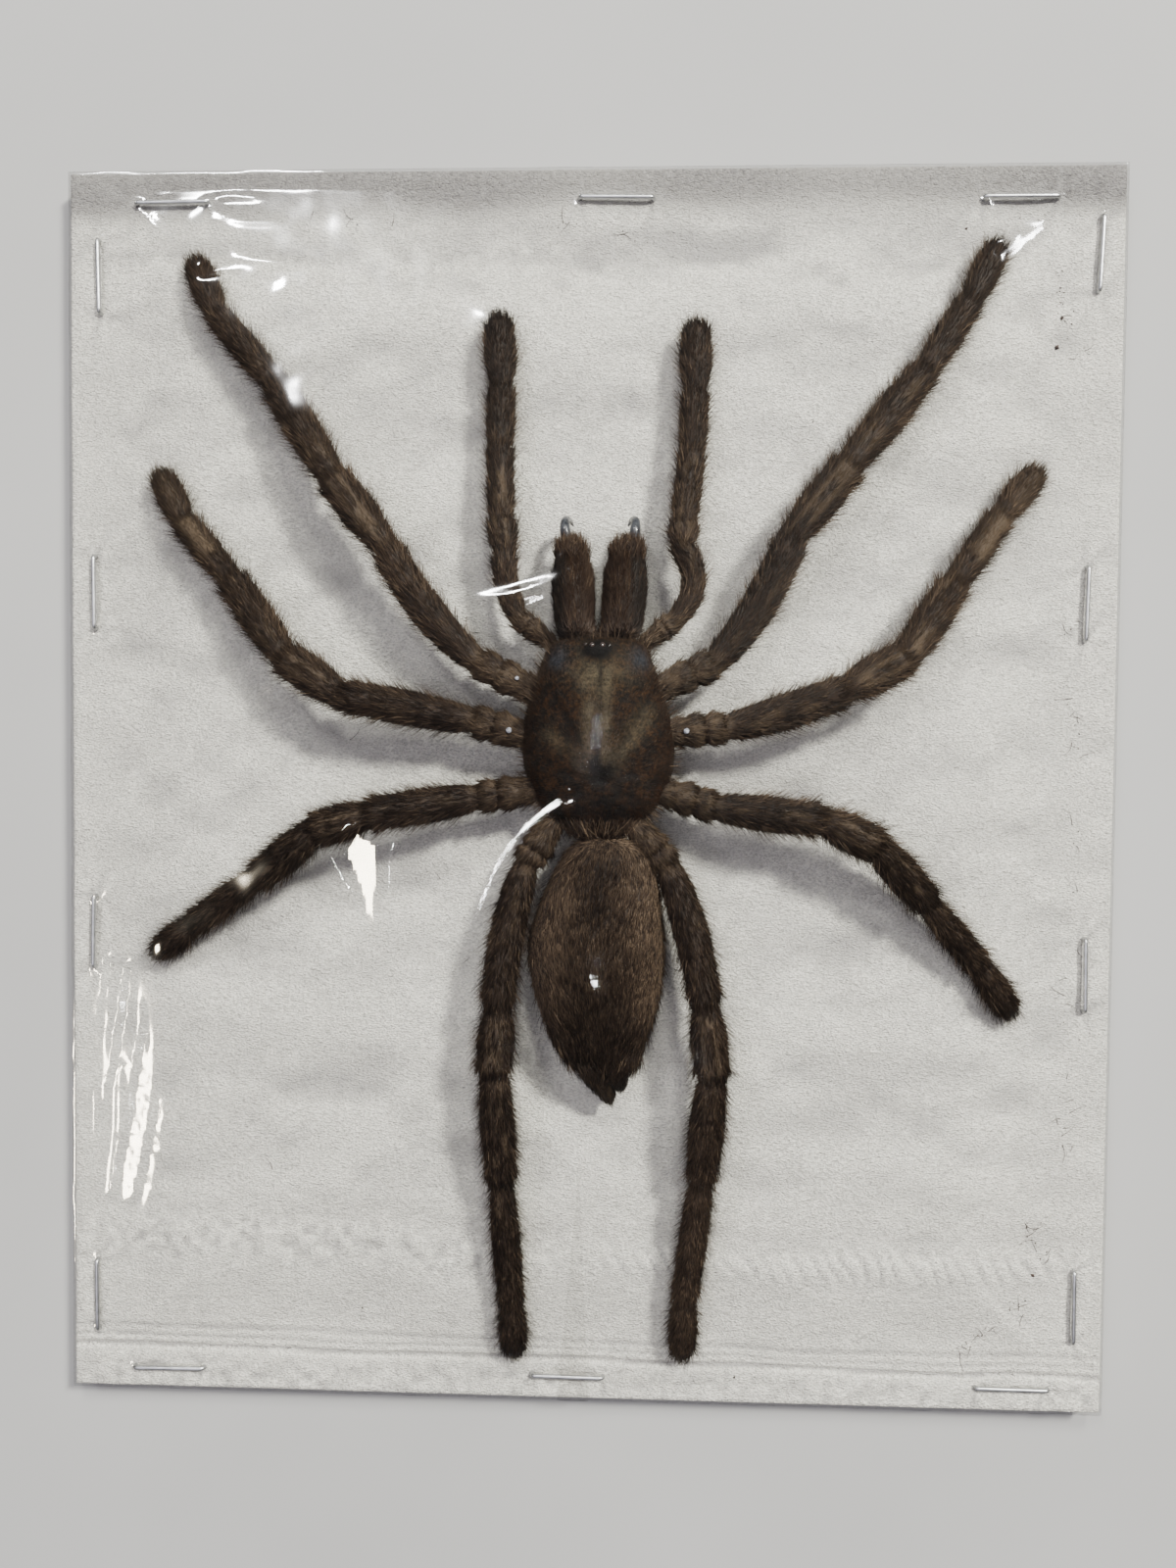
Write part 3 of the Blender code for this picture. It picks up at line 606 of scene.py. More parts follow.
def smooth_through(values, places):
    """Catmull-Rom values at fractional places along a list."""
    values = np.asarray(values, float)
    ends = [2 * values[0] - values[1]], [2 * values[-1] - values[-2]]
    padded = np.concatenate([ends[0], values, ends[1]])
    i = np.minimum(places.astype(int), len(values) - 2)
    f = places - i
    a, b, c, d = (padded[i + k] for k in range(4))
    return b + 0.5 * f * (c - a + f * (2 * a - 5 * b + 4 * c - d + f * (3 * (b - c) + d - a)))


def angles_round(sides):
    """The angles of this many points round a ring."""
    return 2 * np.pi * np.arange(sides) / sides


def turned_from(degrees, centre):
    """How far one angle is turned from another, -180 to 180."""
    return (degrees - centre + 180) % 360 - 180


def unit(vectors):
    return vectors / np.maximum(np.linalg.norm(vectors, axis=-1, keepdims=True), 1e-9)


def from_segment(x, y, start, end):
    """Distance to a line segment, and how far along it the nearest point lies, 0 to 1."""
    (ax, ay), (bx, by) = start, end
    length = math.hypot(bx - ax, by - ay)
    ux, uy = (bx - ax) / length, (by - ay) / length
    along = np.clip((x - ax) * ux + (y - ay) * uy, 0, length)
    return np.hypot(x - ax - along * ux, y - ay - along * uy), along / length


class Shape:
    """Gathers points, faces and painted values until they become one mesh."""

    def __init__(self):
        self.points, self.faces, self.slots, self.paint, self.count = [], [], [], {}, 0

    def add(self, points, *faces, slot=0, **paint):
        """Each of faces is an array of point numbers, one row to a face."""
        points = np.asarray(points, float).reshape(-1, 3)
        for rows in faces:
            rows = np.asarray(rows, int)
            self.faces.append(rows + self.count)
            self.slots.append(np.full(len(rows), slot))
        for name in {**self.paint, **paint}:
            before = self.paint.setdefault(name, [np.zeros(self.count)])
            before.append(np.broadcast_to(paint.get(name, 0.0), len(points)).astype(float))
        self.points.append(points)
        self.count += len(points)

    def build(self, name, *materials):
        """Turns what was gathered into a smooth-shaded object."""
        sizes_of = np.concatenate([np.full(len(rows), rows.shape[1]) for rows in self.faces])
        corners = np.concatenate([rows.ravel() for rows in self.faces])
        mesh = bpy.data.meshes.new(name)
        mesh.vertices.add(self.count)
        mesh.vertices.foreach_set("co", (np.concatenate(self.points) * MM).ravel())
        mesh.loops.add(len(corners))
        mesh.loops.foreach_set("vertex_index", corners)
        mesh.polygons.add(len(sizes_of))
        mesh.polygons.foreach_set("loop_start", np.concatenate([[0], np.cumsum(sizes_of)[:-1]]))
        mesh.polygons.foreach_set("material_index", np.concatenate(self.slots))
        mesh.update(calc_edges=True)
        mesh.validate()
        for label, values in self.paint.items():
            layer = mesh.attributes.new(label, "FLOAT", "POINT")
            layer.data.foreach_set("value", np.concatenate(values))
        for material in materials:
            mesh.materials.append(material)
        mesh.shade_smooth()
        piece = bpy.data.objects.new(name, mesh)
        bpy.context.collection.objects.link(piece)
        return piece


def wear(piece, slot, *nodes):
    """The piece rides on the card and stands for these nodes. Its slot is not used."""
    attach(piece, "root")
    if nodes:
        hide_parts(*nodes)
    return piece


# ---------------- tissue and film shapes


def from_edge(x, y):
    """How far a place lies from the card's nearest edge."""
    return np.minimum(WIDTH / 2 - np.abs(x), HEIGHT / 2 - np.abs(y))


def pad_top(x, y):
    """How high the tissue pad is before it is crumpled."""
    return TISSUE_RIM + PAD_RISE * soften((from_edge(x, y) - RIM) / PAD_SLOPE)


def crown_angle(upright, turn):
    """Which way a staple's crown runs."""
    return math.radians(turn + (90 if upright else 0))


def crown_ends(x, y, upright, turn):
    """The two places where a staple's legs go down."""
    angle = crown_angle(upright, turn)
    reach = CROWN / 2 - WIRE_RADIUS
    step = (reach * math.cos(angle), reach * math.sin(angle))
    return (x - step[0], y - step[1]), (x + step[0], y + step[1])


# Bands of the tissue's own creases, as heights up the card
EMBOSSED = (55.5, 67.5)
CRIMPS = -57.3  # the row of short slanted ridges, with a smoother hollow above it
DRAPES = [  # soft folds: where each starts and ends, its half width and its height
    ((-58.0, 52.0), (12.0, 60.0), 2.6, 0.3), ((-12.0, 70.0), (30.0, 63.0), 2.4, -0.22),
    ((-4.0, 55.0), (38.0, 68.0), 2.0, 0.28), ((8.0, 50.0), (42.0, 60.5), 1.8, -0.2),
    ((20.0, 54.0), (56.0, 66.0), 1.6, 0.24), ((-60.0, 44.0), (-52.0, 36.0), 1.5, 0.25),
    ((-60.0, 30.0), (-53.0, 34.0), 1.0, 0.2), ((-60.0, 20.0), (-40.0, 12.0), 2.4, -0.16),
    ((-61.0, -22.0), (-30.0, -27.0), 2.8, 0.2), ((26.0, 27.0), (60.0, 20.0), 3.2, 0.18),
    ((20.0, -20.0), (60.0, -24.0), 2.6, 0.16), ((18.0, -38.0), (58.0, -40.0), 3.0, -0.16),
    ((-45.0, -34.0), (-12.0, -44.0), 3.0, 0.2), ((-58.0, -6.0), (-34.0, -24.0), 2.2, -0.16),
]
CRIMP_SPACING, CRIMP_LEAN = 1.75, 62  # their spacing, and how steeply they lean in degrees
FOLD_LEFT, FOLD_RIGHT = -69.3, -70.5  # where the bottom fold meets the two long edges
FOLDS = [(0.0, 0.28, 1.6), (-1.1, 0.3, 0.5), (-2.3, 0.4, 0.45)]  # offset, half width, depth
RIM_SWELL = 0.28  # the tissue's spare layers lie thicker round the edge


def fold_line(x):
    """How far up the card the bottom fold runs."""
    share = x / WIDTH + 0.5
    return FOLD_LEFT + (FOLD_RIGHT - FOLD_LEFT) * share + 0.18 * soft_noise(x, 0 * x, 9, 31)


def within(value, low, high, edge):
    """1 inside a band, falling to 0 over this much edge."""
    return soften((value - low) / edge) * soften((high - value) / edge)


def tissue_top(x, y):
    """The crumpled tissue's upper surface."""
    x, y = np.asarray(x, float), np.asarray(y, float)
    size = sizes().crumple / MM
    lumps = 1.8 * soft_noise(x * 0.6, y, 9, 1) + 0.6 * soft_noise(x * 0.7, y, 3.6, 2)
    grain = 0.16 * soft_noise(x, y * 1.8, 1.3, 3)
    emboss = within(y + 0.04 * x, *EMBOSSED, 6) * (soft_noise(x * 0.7 + y * 0.6, y, 1.9, 4)
                                                   + 0.5 * soft_noise(x, y, 1.0, 8))
    lean = math.radians(CRIMP_LEAN)
    phase = (x * math.sin(lean) + y * math.cos(lean)) / CRIMP_SPACING
    phase = phase + 0.4 * soft_noise(x, y, 3.5, 5)
    fullness = soften((x + 2) / 14) * (0.8 + 0.5 * soft_noise(x, y, 5, 6))
    middle = CRIMPS + 2.2 * soften((-x - 8) / 20) + 0.4 * soft_noise(x, 0 * x, 5, 9)
    ridges = np.abs(np.sin(math.pi * phase)) ** 0.8 * bell(y - middle, 1.5) * fullness
    lumpy = soften((4 - x) / 14) * bell(y - middle, 2.6) * (soft_noise(x * 1.2, y, 1.5, 19)
                                                            + 0.6 * soft_noise(x, y, 0.8, 20))
    trough = bell(y - middle - 3.6, 1.8)
    below = fold_line(x) - y
    folds = sum(-depth * bell(below - offset + 0.2 * soft_noise(x, 0 * x, 14, 40 + k), width)
                for k, (offset, width, depth) in enumerate(FOLDS))
    coarse = soft_noise(x * 0.8, y * 1.6, 1.6, 7) + 0.7 * soft_noise(x * 1.6, y * 1.1, 1.1, 17)
    strip = 0.5 * soften(below / 0.5) + 0.5 * soften(below / 0.8) * coarse
    inside = from_edge(x, y)
    free = 0.45 + 0.55 * soften((inside - RIM + 1) / 5)  # the staples hold the rim flatter
    height = (pad_top(x, y) + RIM_SWELL * soften((RIM + 7 - inside) / 7)
              + size * free * (lumps + grain + 0.4 * emboss + 1.7 * ridges + 0.9 * lumpy
                               - 1.0 * trough + drapes(x, y))
              + size * (1.6 * folds + strip))
    for number, place in enumerate(STAPLES.values()):
        ends = crown_ends(*place)
        height = height - 0.12 * bell(from_segment(x, y, *ends)[0], 1.1)
        height = height + radial_puckers(x, y, ends, number)
    return height


def drapes(x, y):
    """The soft folds that cross the tissue."""
    total = 0
    for start, end, width, rise in DRAPES:
        distance, along = from_segment(x, y, start, end)
        total = total + 3.0 * rise * bell(distance, width) * within(along, 0, 1, 0.45)
    return total


CREASE_SHADE_REACH = 7  # in grid steps: what counts as a place's surroundings, for the painted crease shade
CREASE_SHADE_DEPTH = 0.25  # from a level place to where the painted shade is full


def crease_shade_map(heights):
    """Painted shade for a height grid: how far each place lies below its surroundings, 0.5 where it
    is level.
    """
    reach = CREASE_SHADE_REACH
    around = np.pad(heights, reach, mode="edge")
    for _ in range(reach):
        around[1:-1] = (around[2:] + around[:-2] + 2 * around[1:-1]) / 4
        around[:, 1:-1] = (around[:, 2:] + around[:, :-2] + 2 * around[:, 1:-1]) / 4
    return np.clip(0.5 + (around[reach:-reach, reach:-reach] - heights) / CREASE_SHADE_DEPTH, 0, 1)


def radial_puckers(x, y, ends, number):
    """Small creases that run out from where a staple's legs pull the tissue down."""
    draw = np.random.default_rng(SEEDS["tissue"] + number)
    total = 0
    for at in ends:
        dx, dy = x - at[0], y - at[1]
        distance = np.hypot(dx, dy)
        angle = np.arctan2(dy, dx)
        wave = np.cos(7 * angle + draw.uniform(0, 6)) + 0.6 * np.cos(4 * angle + draw.uniform(0, 6))
        total = total + 0.07 * wave * soften(distance / 0.8) * bell(distance, 3.2)
    return total


def grid_lines(half, fine, coarse, margin):
    """Lines from -half to half, closer together within this margin of either end."""
    ends = np.linspace(half - margin, half, max(2, round(margin / fine)) + 1)
    steps = round((2 * (half - margin)) / coarse)
    inside = np.linspace(margin - half, half - margin, steps + 1)[1:-1]
    return np.concatenate([-ends[::-1], inside, ends])


@functools.cache
def specimen_tree():
    """One search tree over the spider's solids, as the frame holds them."""
    whole = bmesh.new()
    for name in SPIDER_NODES:
        whole.from_mesh(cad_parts[name].data)
    tree = BVHTree.FromBMesh(whole)
    whole.free()
    return tree


def solid_top(x, y):
    """The level of the spider's solids at a place, or None beside them."""
    hit = specimen_tree().ray_cast(Vector((x * MM, y * MM, 1.0)), Vector((0, 0, -1)))[0]
    return None if hit is None else hit.z / MM


SHEET_STEP = 0.75  # the film is first pulled tight on a grid of about this step
SHEET_PULLS, SHEET_SMOOTHING = 1500, 4


@functools.cache
def tight_film():
    """Grid lines and heights of the film pulled tight over the spider, before its creases."""
    half_x, half_y = WIDTH / 2 - RIM / 2, HEIGHT / 2 - RIM / 2
    xs = np.linspace(-half_x, half_x, round(2 * half_x / SHEET_STEP) + 1)
    ys = np.linspace(-half_y, half_y, round(2 * half_y / SHEET_STEP) + 1)
    floor = pad_top(xs[:, None], ys[None, :]) + FILM_OVER_PAD
    for i, x in enumerate(xs):
        for j, y in enumerate(ys):
            top = solid_top(x, y)
            if top is not None:
                floor[i, j] = max(floor[i, j], top + FILM_LIFT)
    padded = np.pad(floor, 1, mode="edge")
    floor = np.max([padded[i:i + len(xs), j:j + len(ys)] for i in range(3) for j in range(3)],
                   axis=0)
    height = np.maximum(floor, FILM_RIM)
    for _ in range(SHEET_PULLS):
        pulled = (height[2:, 1:-1] + height[:-2, 1:-1] + height[1:-1, 2:] + height[1:-1, :-2]) / 4
        height[1:-1, 1:-1] = np.maximum(floor[1:-1, 1:-1], pulled)
        height[0, :] = height[-1, :] = height[:, 0] = height[:, -1] = FILM_RIM
    for _ in range(SHEET_SMOOTHING):
        height[1:-1, 1:-1] = (height[2:, 1:-1] + height[:-2, 1:-1] + height[1:-1, 2:]
                              + height[1:-1, :-2] + 2 * height[1:-1, 1:-1]) / 6
    return xs, ys, height


def film_base(x, y):
    """The tight film's height anywhere."""
    xs, ys, height = tight_film()
    u = np.clip((np.asarray(x) - xs[0]) / (xs[1] - xs[0]), 0, len(xs) - 1.001)
    v = np.clip((np.asarray(y) - ys[0]) / (ys[1] - ys[0]), 0, len(ys) - 1.001)
    i, j = u.astype(int), v.astype(int)
    s, t = u - i, v - j
    return ((height[i, j] * (1 - s) + height[i + 1, j] * s) * (1 - t)
            + (height[i, j + 1] * (1 - s) + height[i + 1, j + 1] * s) * t)


CREASE_SIZE = 0.35  # the crease setting that the heights of FILM_CREASES are for
# Creases of the film: the points that each runs through, its half width and its height
FILM_CREASES = [
    ([(-13.5, 21.6), (-8.0, 22.4), (-1.6, 24.3)], 1.1, 0.7),  # the leaf beside the left jaw
    ([(-3.6, 25.4), (-2.1, 27.1), (-1.0, 26.4), (-1.4, 25.2), (-3.4, 25.0)], 0.4, 0.26),  # its knot
    ([(-22.5, 32.6), (-13.0, 32.3)], 0.4, 0.2),
    ([(-43.6, 61.9), (-42.2, 63.2), (-38.5, 62.8), (-31.5, 62.0)], 0.5, 0.12),
    ([(47.6, 62.6), (54.3, 67.7)], 1.0, 0.1),  # from the right front tip to the corner
    ([(47.9, 61.9), (52.6, 64.6)], 0.4, 0.12),
    ([(51.5, 64.6), (55.7, 64.6)], 0.45, 0.16),
    ([(52.6, 60.8), (57.4, 61.6)], 0.5, 0.16),
    ([(52.3, 57.4), (56.6, 59.0), (59.5, 60.2)], 0.55, 0.2),
    ([(-62.8, 74.3), (-59.9, 73.5), (-52.0, 74.3), (-42.3, 74.1), (-44.0, 73.2), (-36.0, 74.1)],
     0.4, 0.16),
    ([(-45.6, 71.0), (-43.4, 71.6), (-39.4, 71.6)], 0.45, 0.2),
    ([(-45.9, 70.2), (-44.1, 69.2), (-41.7, 68.2), (-36.5, 68.1)], 0.5, 0.18),
    ([(-57.8, 68.1), (-54.5, 69.6), (-52.4, 67.8), (-50.2, 65.8)], 0.6, 0.25),
    ([(-57.0, 65.3), (-54.2, 64.9), (-51.0, 65.2)], 0.5, 0.2),
    ([(-61.7, -33.6), (-61.8, -47.0)], 0.3, 0.12),
    ([(-60.3, -35.6), (-60.4, -46.6)], 0.3, 0.12),
    ([(-59.1, -35.6), (-59.2, -46.5)], 0.3, 0.12),
    ([(-57.2, -32.0), (-57.3, -42.0), (-58.0, -52.5)], 0.4, 0.14),
]
# Facets of the film that lie flat: their corners, and how steeply they rise along x and y
FILM_FACETS = [
    ([(-26.2, -4.2), (-22.5, -5.0), (-23.4, -16.3), (-27.8, -6.8)], (0.395, 0.15)),
    ([(-45.4, 60.8), (-42.5, 63.5), (-38.5, 63.0), (-33.7, 62.4), (-40.8, 61.5)], (0.0, -0.285)),
    ([(47.4, 61.5), (47.2, 63.2), (53.8, 68.4), (52.6, 65.4)], (-0.22, -0.32)),
]
# The arc beside the abdomen: a ridge, its half width and how steep it gets, start to end
ARC = [(1.0, 1.8), (-1.8, 0.8), (-5.4, -1.7), (-8.3, -4.7), (-10.6, -8.7), (-12.6, -14.0),
       (-13.3, -18.0)]
ARC_WIDTH, ARC_SLOPES = 0.85, (0.17, 0.33)
BELL_SLOPE = 1.17  # the height of a bell whose half width and steepest slope are both 1
# The rumpled patch at the lower left: its outline, the width of its strips, and how steeply
# they rise, by distance below the card's middle
RUMPLED = [(-58.5, -21.5), (-53.0, -22.5), (-52.6, -38.0), (-51.5, -44.0), (-55.0, -51.0),
           (-58.0, -50.0)]
STEP_WIDTH = 3.2
STEP_RISES = [(31, 0.24), (34, 0.13), (42, 0.185), (51, 0.215)]
FACET_EDGE, RUMPLE_EDGE = 0.4, 1.5  # over what distance each turns into the film round it
FILM_DIMPLES = [  # small round bumps that glint: (across, along, half width, height)
    (-28.4, 36.6, 0.55, 0.16), (-45.9, 62.0, 0.6, 0.2), (-1.3, 1.2, 0.7, 0.25),
    (-7.6, 5.2, 0.5, 0.16), (-5.9, 10.9, 0.5, 0.14), (11.2, 7.9, 0.5, 0.16), (1.2, -19.6, 0.4, 0.12),
]
PLEAT_APEX, PLEAT_FOOT, PLEAT_HEIGHT = (0.1, -42.0), ((-2.8, -75.0), (1.2, -75.0)), 0.2
CRINKLED = [  # finely wrinkled patches: left, right, bottom, top
    (-58.2, -51.0, -51.5, -32.0), (-42.8, -34.0, 58.6, 61.2),
]


def pleat_depth(x, y):
    """1 on the flat pleat that widens from its apex to the bottom edge, else 0."""
    t = (PLEAT_APEX[1] - y) / (PLEAT_APEX[1] - PLEAT_FOOT[0][1])
    left = PLEAT_APEX[0] + t * (PLEAT_FOOT[0][0] - PLEAT_APEX[0])
    right = PLEAT_APEX[0] + t * (PLEAT_FOOT[1][0] - PLEAT_APEX[0])
    return np.where(t > 0, soften((x - left) / 0.3) * soften((right - x) / 0.3), 0)


def from_path(x, y, points):
    """Distance to a smooth line through these points, and how far along it, 0 to 1."""
    line = np.array(points)
    if len(points) > 2:
        places = np.linspace(0, len(points) - 1, 8 * (len(points) - 1) + 1)
        line = np.stack([smooth_through(line[:, k], places) for k in (0, 1)], axis=-1)
    nearest, along = np.full(np.broadcast(x, y).shape, 1e9), 0
    for number, (start, end) in enumerate(zip(line, line[1:])):
        distance, share = from_segment(x, y, start, end)
        along = np.where(distance < nearest, (number + share) / (len(line) - 1), along)
        nearest = np.minimum(distance, nearest)
    return nearest, along


def inside_polygon(x, y, corners):
    """How far inside a convex outline a place is; below 0 it is outside."""
    area = sum(ax * by - bx * ay for (ax, ay), (bx, by) in zip(corners, corners[1:] + corners[:1]))
    depth = 1e9
    for (ax, ay), (bx, by) in zip(corners, corners[1:] + corners[:1]):
        length = math.copysign(math.hypot(bx - ax, by - ay), area)
        depth = np.minimum(depth, ((bx - ax) * (y - ay) - (by - ay) * (x - ax)) / length)
    return depth


def film_top(x, y):
    """The creased film's height."""
    x, y = np.asarray(x, float), np.asarray(y, float)
    size = sizes().crease / MM
    height = film_base(x, y)
    height = height + 0.06 * soft_noise(x, y, 5.5, 11) + 0.03 * soft_noise(x, y, 2.1, 12)
    for corners, rise in FILM_FACETS:
        middle = np.mean(corners, axis=0)
        plane = film_base(*middle) + rise[0] * (x - middle[0]) + rise[1] * (y - middle[1])
        share = soften(1 + inside_polygon(x, y, corners) / FACET_EDGE)
        height = height + share * (plane - height)
    ragged = 0.16 * soft_noise(x, 0.7 * y, 1.1, 14)
    lean = (x + ragged - 0.2 * y) / STEP_WIDTH % 1 - 0.5
    rise = STEP_WIDTH * np.interp(-y, *zip(*STEP_RISES))
    height = height + soften(1 + inside_polygon(x, y, RUMPLED) / RUMPLE_EDGE) * rise * lean
    for points, width, rise in FILM_CREASES:
        distance, along = from_path(x, y, points)
        height = height + (size / CREASE_SIZE * rise * bell(distance, width)
                           * np.sin(math.pi * np.clip(along, 0, 1)) ** 0.5)
    distance, along = from_path(x, y, ARC)
    slope = ARC_SLOPES[0] + (ARC_SLOPES[1] - ARC_SLOPES[0]) * along
    height = height + (BELL_SLOPE * ARC_WIDTH * slope * bell(distance, ARC_WIDTH)
                       * within(along, 0, 1, 0.15))
    for at_x, at_y, width, rise in FILM_DIMPLES:
        height = height + rise * bell(np.hypot(x - at_x, 0.7 * (y - at_y)), width)
    for left, right, bottom, top in CRINKLED:
        patch = within(x, left, right, 2.0) * within(y, bottom, top, 1.5)
        height = height + 0.2 * size * patch * soft_noise(x * 0.9 + y * 0.3, y, 0.9, 13)
    height = height + PLEAT_HEIGHT * pleat_depth(x, y)
    for number, place in enumerate(STAPLES.values()):
        ends = crown_ends(*place)
        height = height - 0.1 * bell(from_segment(x, y, *ends)[0], 0.9)
        draw = np.random.default_rng(SEEDS["film"] + number)
        centre = math.atan2(-place[1], -place[0])
        for at in ends:
            for _ in range(5):
                angle = centre + draw.uniform(-1.5, 1.5)
                reach = draw.uniform(2.0, 6.0)
                tip = (at[0] + reach * math.cos(angle), at[1] + reach * math.sin(angle))
                distance, along = from_segment(x, y, at, tip)
                height = height + (size * draw.uniform(0.25, 0.7) * bell(distance, 0.35)
                                   * (1 - along) ** 0.7)
    return np.maximum(height, tissue_top(x, y) + 0.05)


def sheet_grid(shape, xs, ys, heights, **paint):
    """Adds a height field. It returns the numbers and places of the points round its edge."""
    first = shape.count
    grid = np.stack(np.broadcast_arrays(xs[:, None], ys[None, :], heights), axis=-1)
    numbers = np.arange(len(xs) * len(ys)).reshape(len(xs), len(ys))
    a, b, c, d = numbers[:-1, :-1], numbers[1:, :-1], numbers[1:, 1:], numbers[:-1, 1:]
    quads = np.stack([a, b, c, d], axis=-1).reshape(-1, 4)
    shape.add(grid, quads, **{name: value.ravel() for name, value in paint.items()})
    ring = np.concatenate([numbers[:, 0], numbers[-1, 1:], numbers[-2::-1, -1],
                           numbers[0, -2:0:-1]])
    return first + ring, grid.reshape(-1, 3)[ring]


SKIRT_WAVER = 0.03  # how much a sheet's sides wander up and down


def skirt(shape, ring, edge, half_x, half_y, rows, **paint):
    """Carries the edge of a sheet down its sides: rows are (how far in, level)."""
    wide, high = edge[:, 0].max(), edge[:, 1].max()
    count = len(ring)
    run = np.where(np.abs(edge[:, 0]) > wide - 0.01, edge[:, 1], edge[:, 0] + 200)
    for number, (inset, level) in enumerate(rows):
        x, y = edge[:, 0] * (half_x - inset) / wide, edge[:, 1] * (half_y - inset) / high
        waver = SKIRT_WAVER * soft_noise(run, run * 0 + 7 * number, 3.0, 21)
        points = np.stack([x, y, np.full(count, level) + waver], axis=-1)
        first = shape.count
        following = np.roll(ring, -1)
        new = np.arange(first, first + count)
        quads = np.stack([following, ring, new, np.roll(new, -1)], axis=-1)
        shape.add(points, quads - first, **paint)
        ring = new
    return ring


# ---------------- skins and hair


# Places on a skin, or the roots of hairs: points, outward, ahead and around directions, marks
# and angles
Places = namedtuple("Places", "point normal ahead around mark angle", defaults=[None] * 6)
UNDERSIDE, UNDERSIDE_FUR = -0.3, 0.12  # the outward z where it starts, and its share of hair


class Skin:
    """A closed tube: one row of points to a ring, and a mark to every ring."""

    def __init__(self, rings, marks):
        self.rings, self.marks = rings, np.asarray(marks, float)
        ahead = np.gradient(rings, axis=0)
        around = np.roll(rings, -1, axis=1) - np.roll(rings, 1, axis=1)
        outward = rings - rings.mean(axis=1, keepdims=True)
        if (unit(np.cross(ahead, around)) * outward).sum() < 0:
            self.rings = rings[:, ::-1]

    def add_to(self, shape, paint=None):
        """Adds the skin with both ends closed. paint gives values from the skin's places."""
        rows, sides = self.rings.shape[:2]
        numbers = np.arange(rows * sides).reshape(rows, sides)
        following = np.roll(numbers, -1, axis=1)
        quads = np.stack([numbers[:-1], numbers[1:], following[1:], following[:-1]], axis=-1)
        ends = rows * sides + np.arange(2)
        caps = [np.stack([np.full(sides, ends[0]), numbers[0], following[0]], axis=-1),
                np.stack([np.full(sides, ends[1]), following[-1], numbers[-1]], axis=-1)]
        middles = np.stack([self.rings[0].mean(axis=0), self.rings[-1].mean(axis=0)])
        points = np.concatenate([self.rings.reshape(-1, 3), middles])
        centres = self.rings.mean(axis=1)
        along = np.concatenate([[0], np.cumsum(np.linalg.norm(np.diff(centres, axis=0), axis=1))])
        around = np.linalg.norm(self.rings - centres[:, None], axis=2) * self.angles()
        values = {"along": np.repeat(along, sides), "around": around.ravel()}
        if paint:
            values.update(paint(Places(point=self.rings.reshape(-1, 3),
                                       mark=np.repeat(self.marks, sides),
                                       angle=np.tile(self.angles(), rows))))
        for name, value in values.items():
            value = np.broadcast_to(value, rows * sides)
            values[name] = np.append(value, value[[0, -1]])
        shape.add(points, quads.reshape(-1, 4), *caps, **values)

    def angles(self):
        return angles_round(self.rings.shape[1])

    def roots(self, count, draw, density=None):
        """Random places on the skin, thickest where the density is high."""
        near, far = self.rings[:-1], self.rings[1:]
        near_next, far_next = np.roll(near, -1, axis=1), np.roll(far, -1, axis=1)
        ahead = (far + far_next - near - near_next) / 2
        around = (near_next + far_next - near - far) / 2
        normal = np.cross(ahead, around)
        outward = unit(normal)
        weight = np.linalg.norm(normal, axis=2) * np.where(outward[..., 2] > UNDERSIDE, 1,
                                                           UNDERSIDE_FUR)
        if density:
            middle = (near + far + near_next + far_next) / 4
            weight = weight * density(Places(point=middle, normal=outward,
                                             mark=self.marks[:-1, None]))
        cells = draw.choice(weight.size, count, p=(weight / weight.sum()).ravel())
        row, side = np.divmod(cells, self.rings.shape[1])
        s, t = draw.random((2, count, 1))
        point = ((near[row, side] * (1 - s) + far[row, side] * s) * (1 - t)
                 + (near_next[row, side] * (1 - s) + far_next[row, side] * s) * t)
        mark = self.marks[row] + s[:, 0] * (self.marks[row + 1] - self.marks[row])
        angle = 2 * np.pi * (side + t[:, 0]) / self.rings.shape[1]
        return Places(point, outward[row, side], unit(ahead)[row, side],
                      unit(around)[row, side], mark, angle)


HAIR_CLEARANCE = (0.22, 0.2)  # under the tight film and over the plain pad
HAIR_SLOT = 1  # a furred piece's second material; the first is its skin


def keep_between_sheets(points):
    """Bends hair down under the film and up off the tissue."""
    x, y = points[:, 0], points[:, 1]
    ceiling = film_base(x, y) - HAIR_CLEARANCE[0]
    ground = pad_top(x, y) + HAIR_CLEARANCE[1]
    points[:, 2] = np.clip(points[:, 2], np.minimum(ground, ceiling), ceiling)
    return points


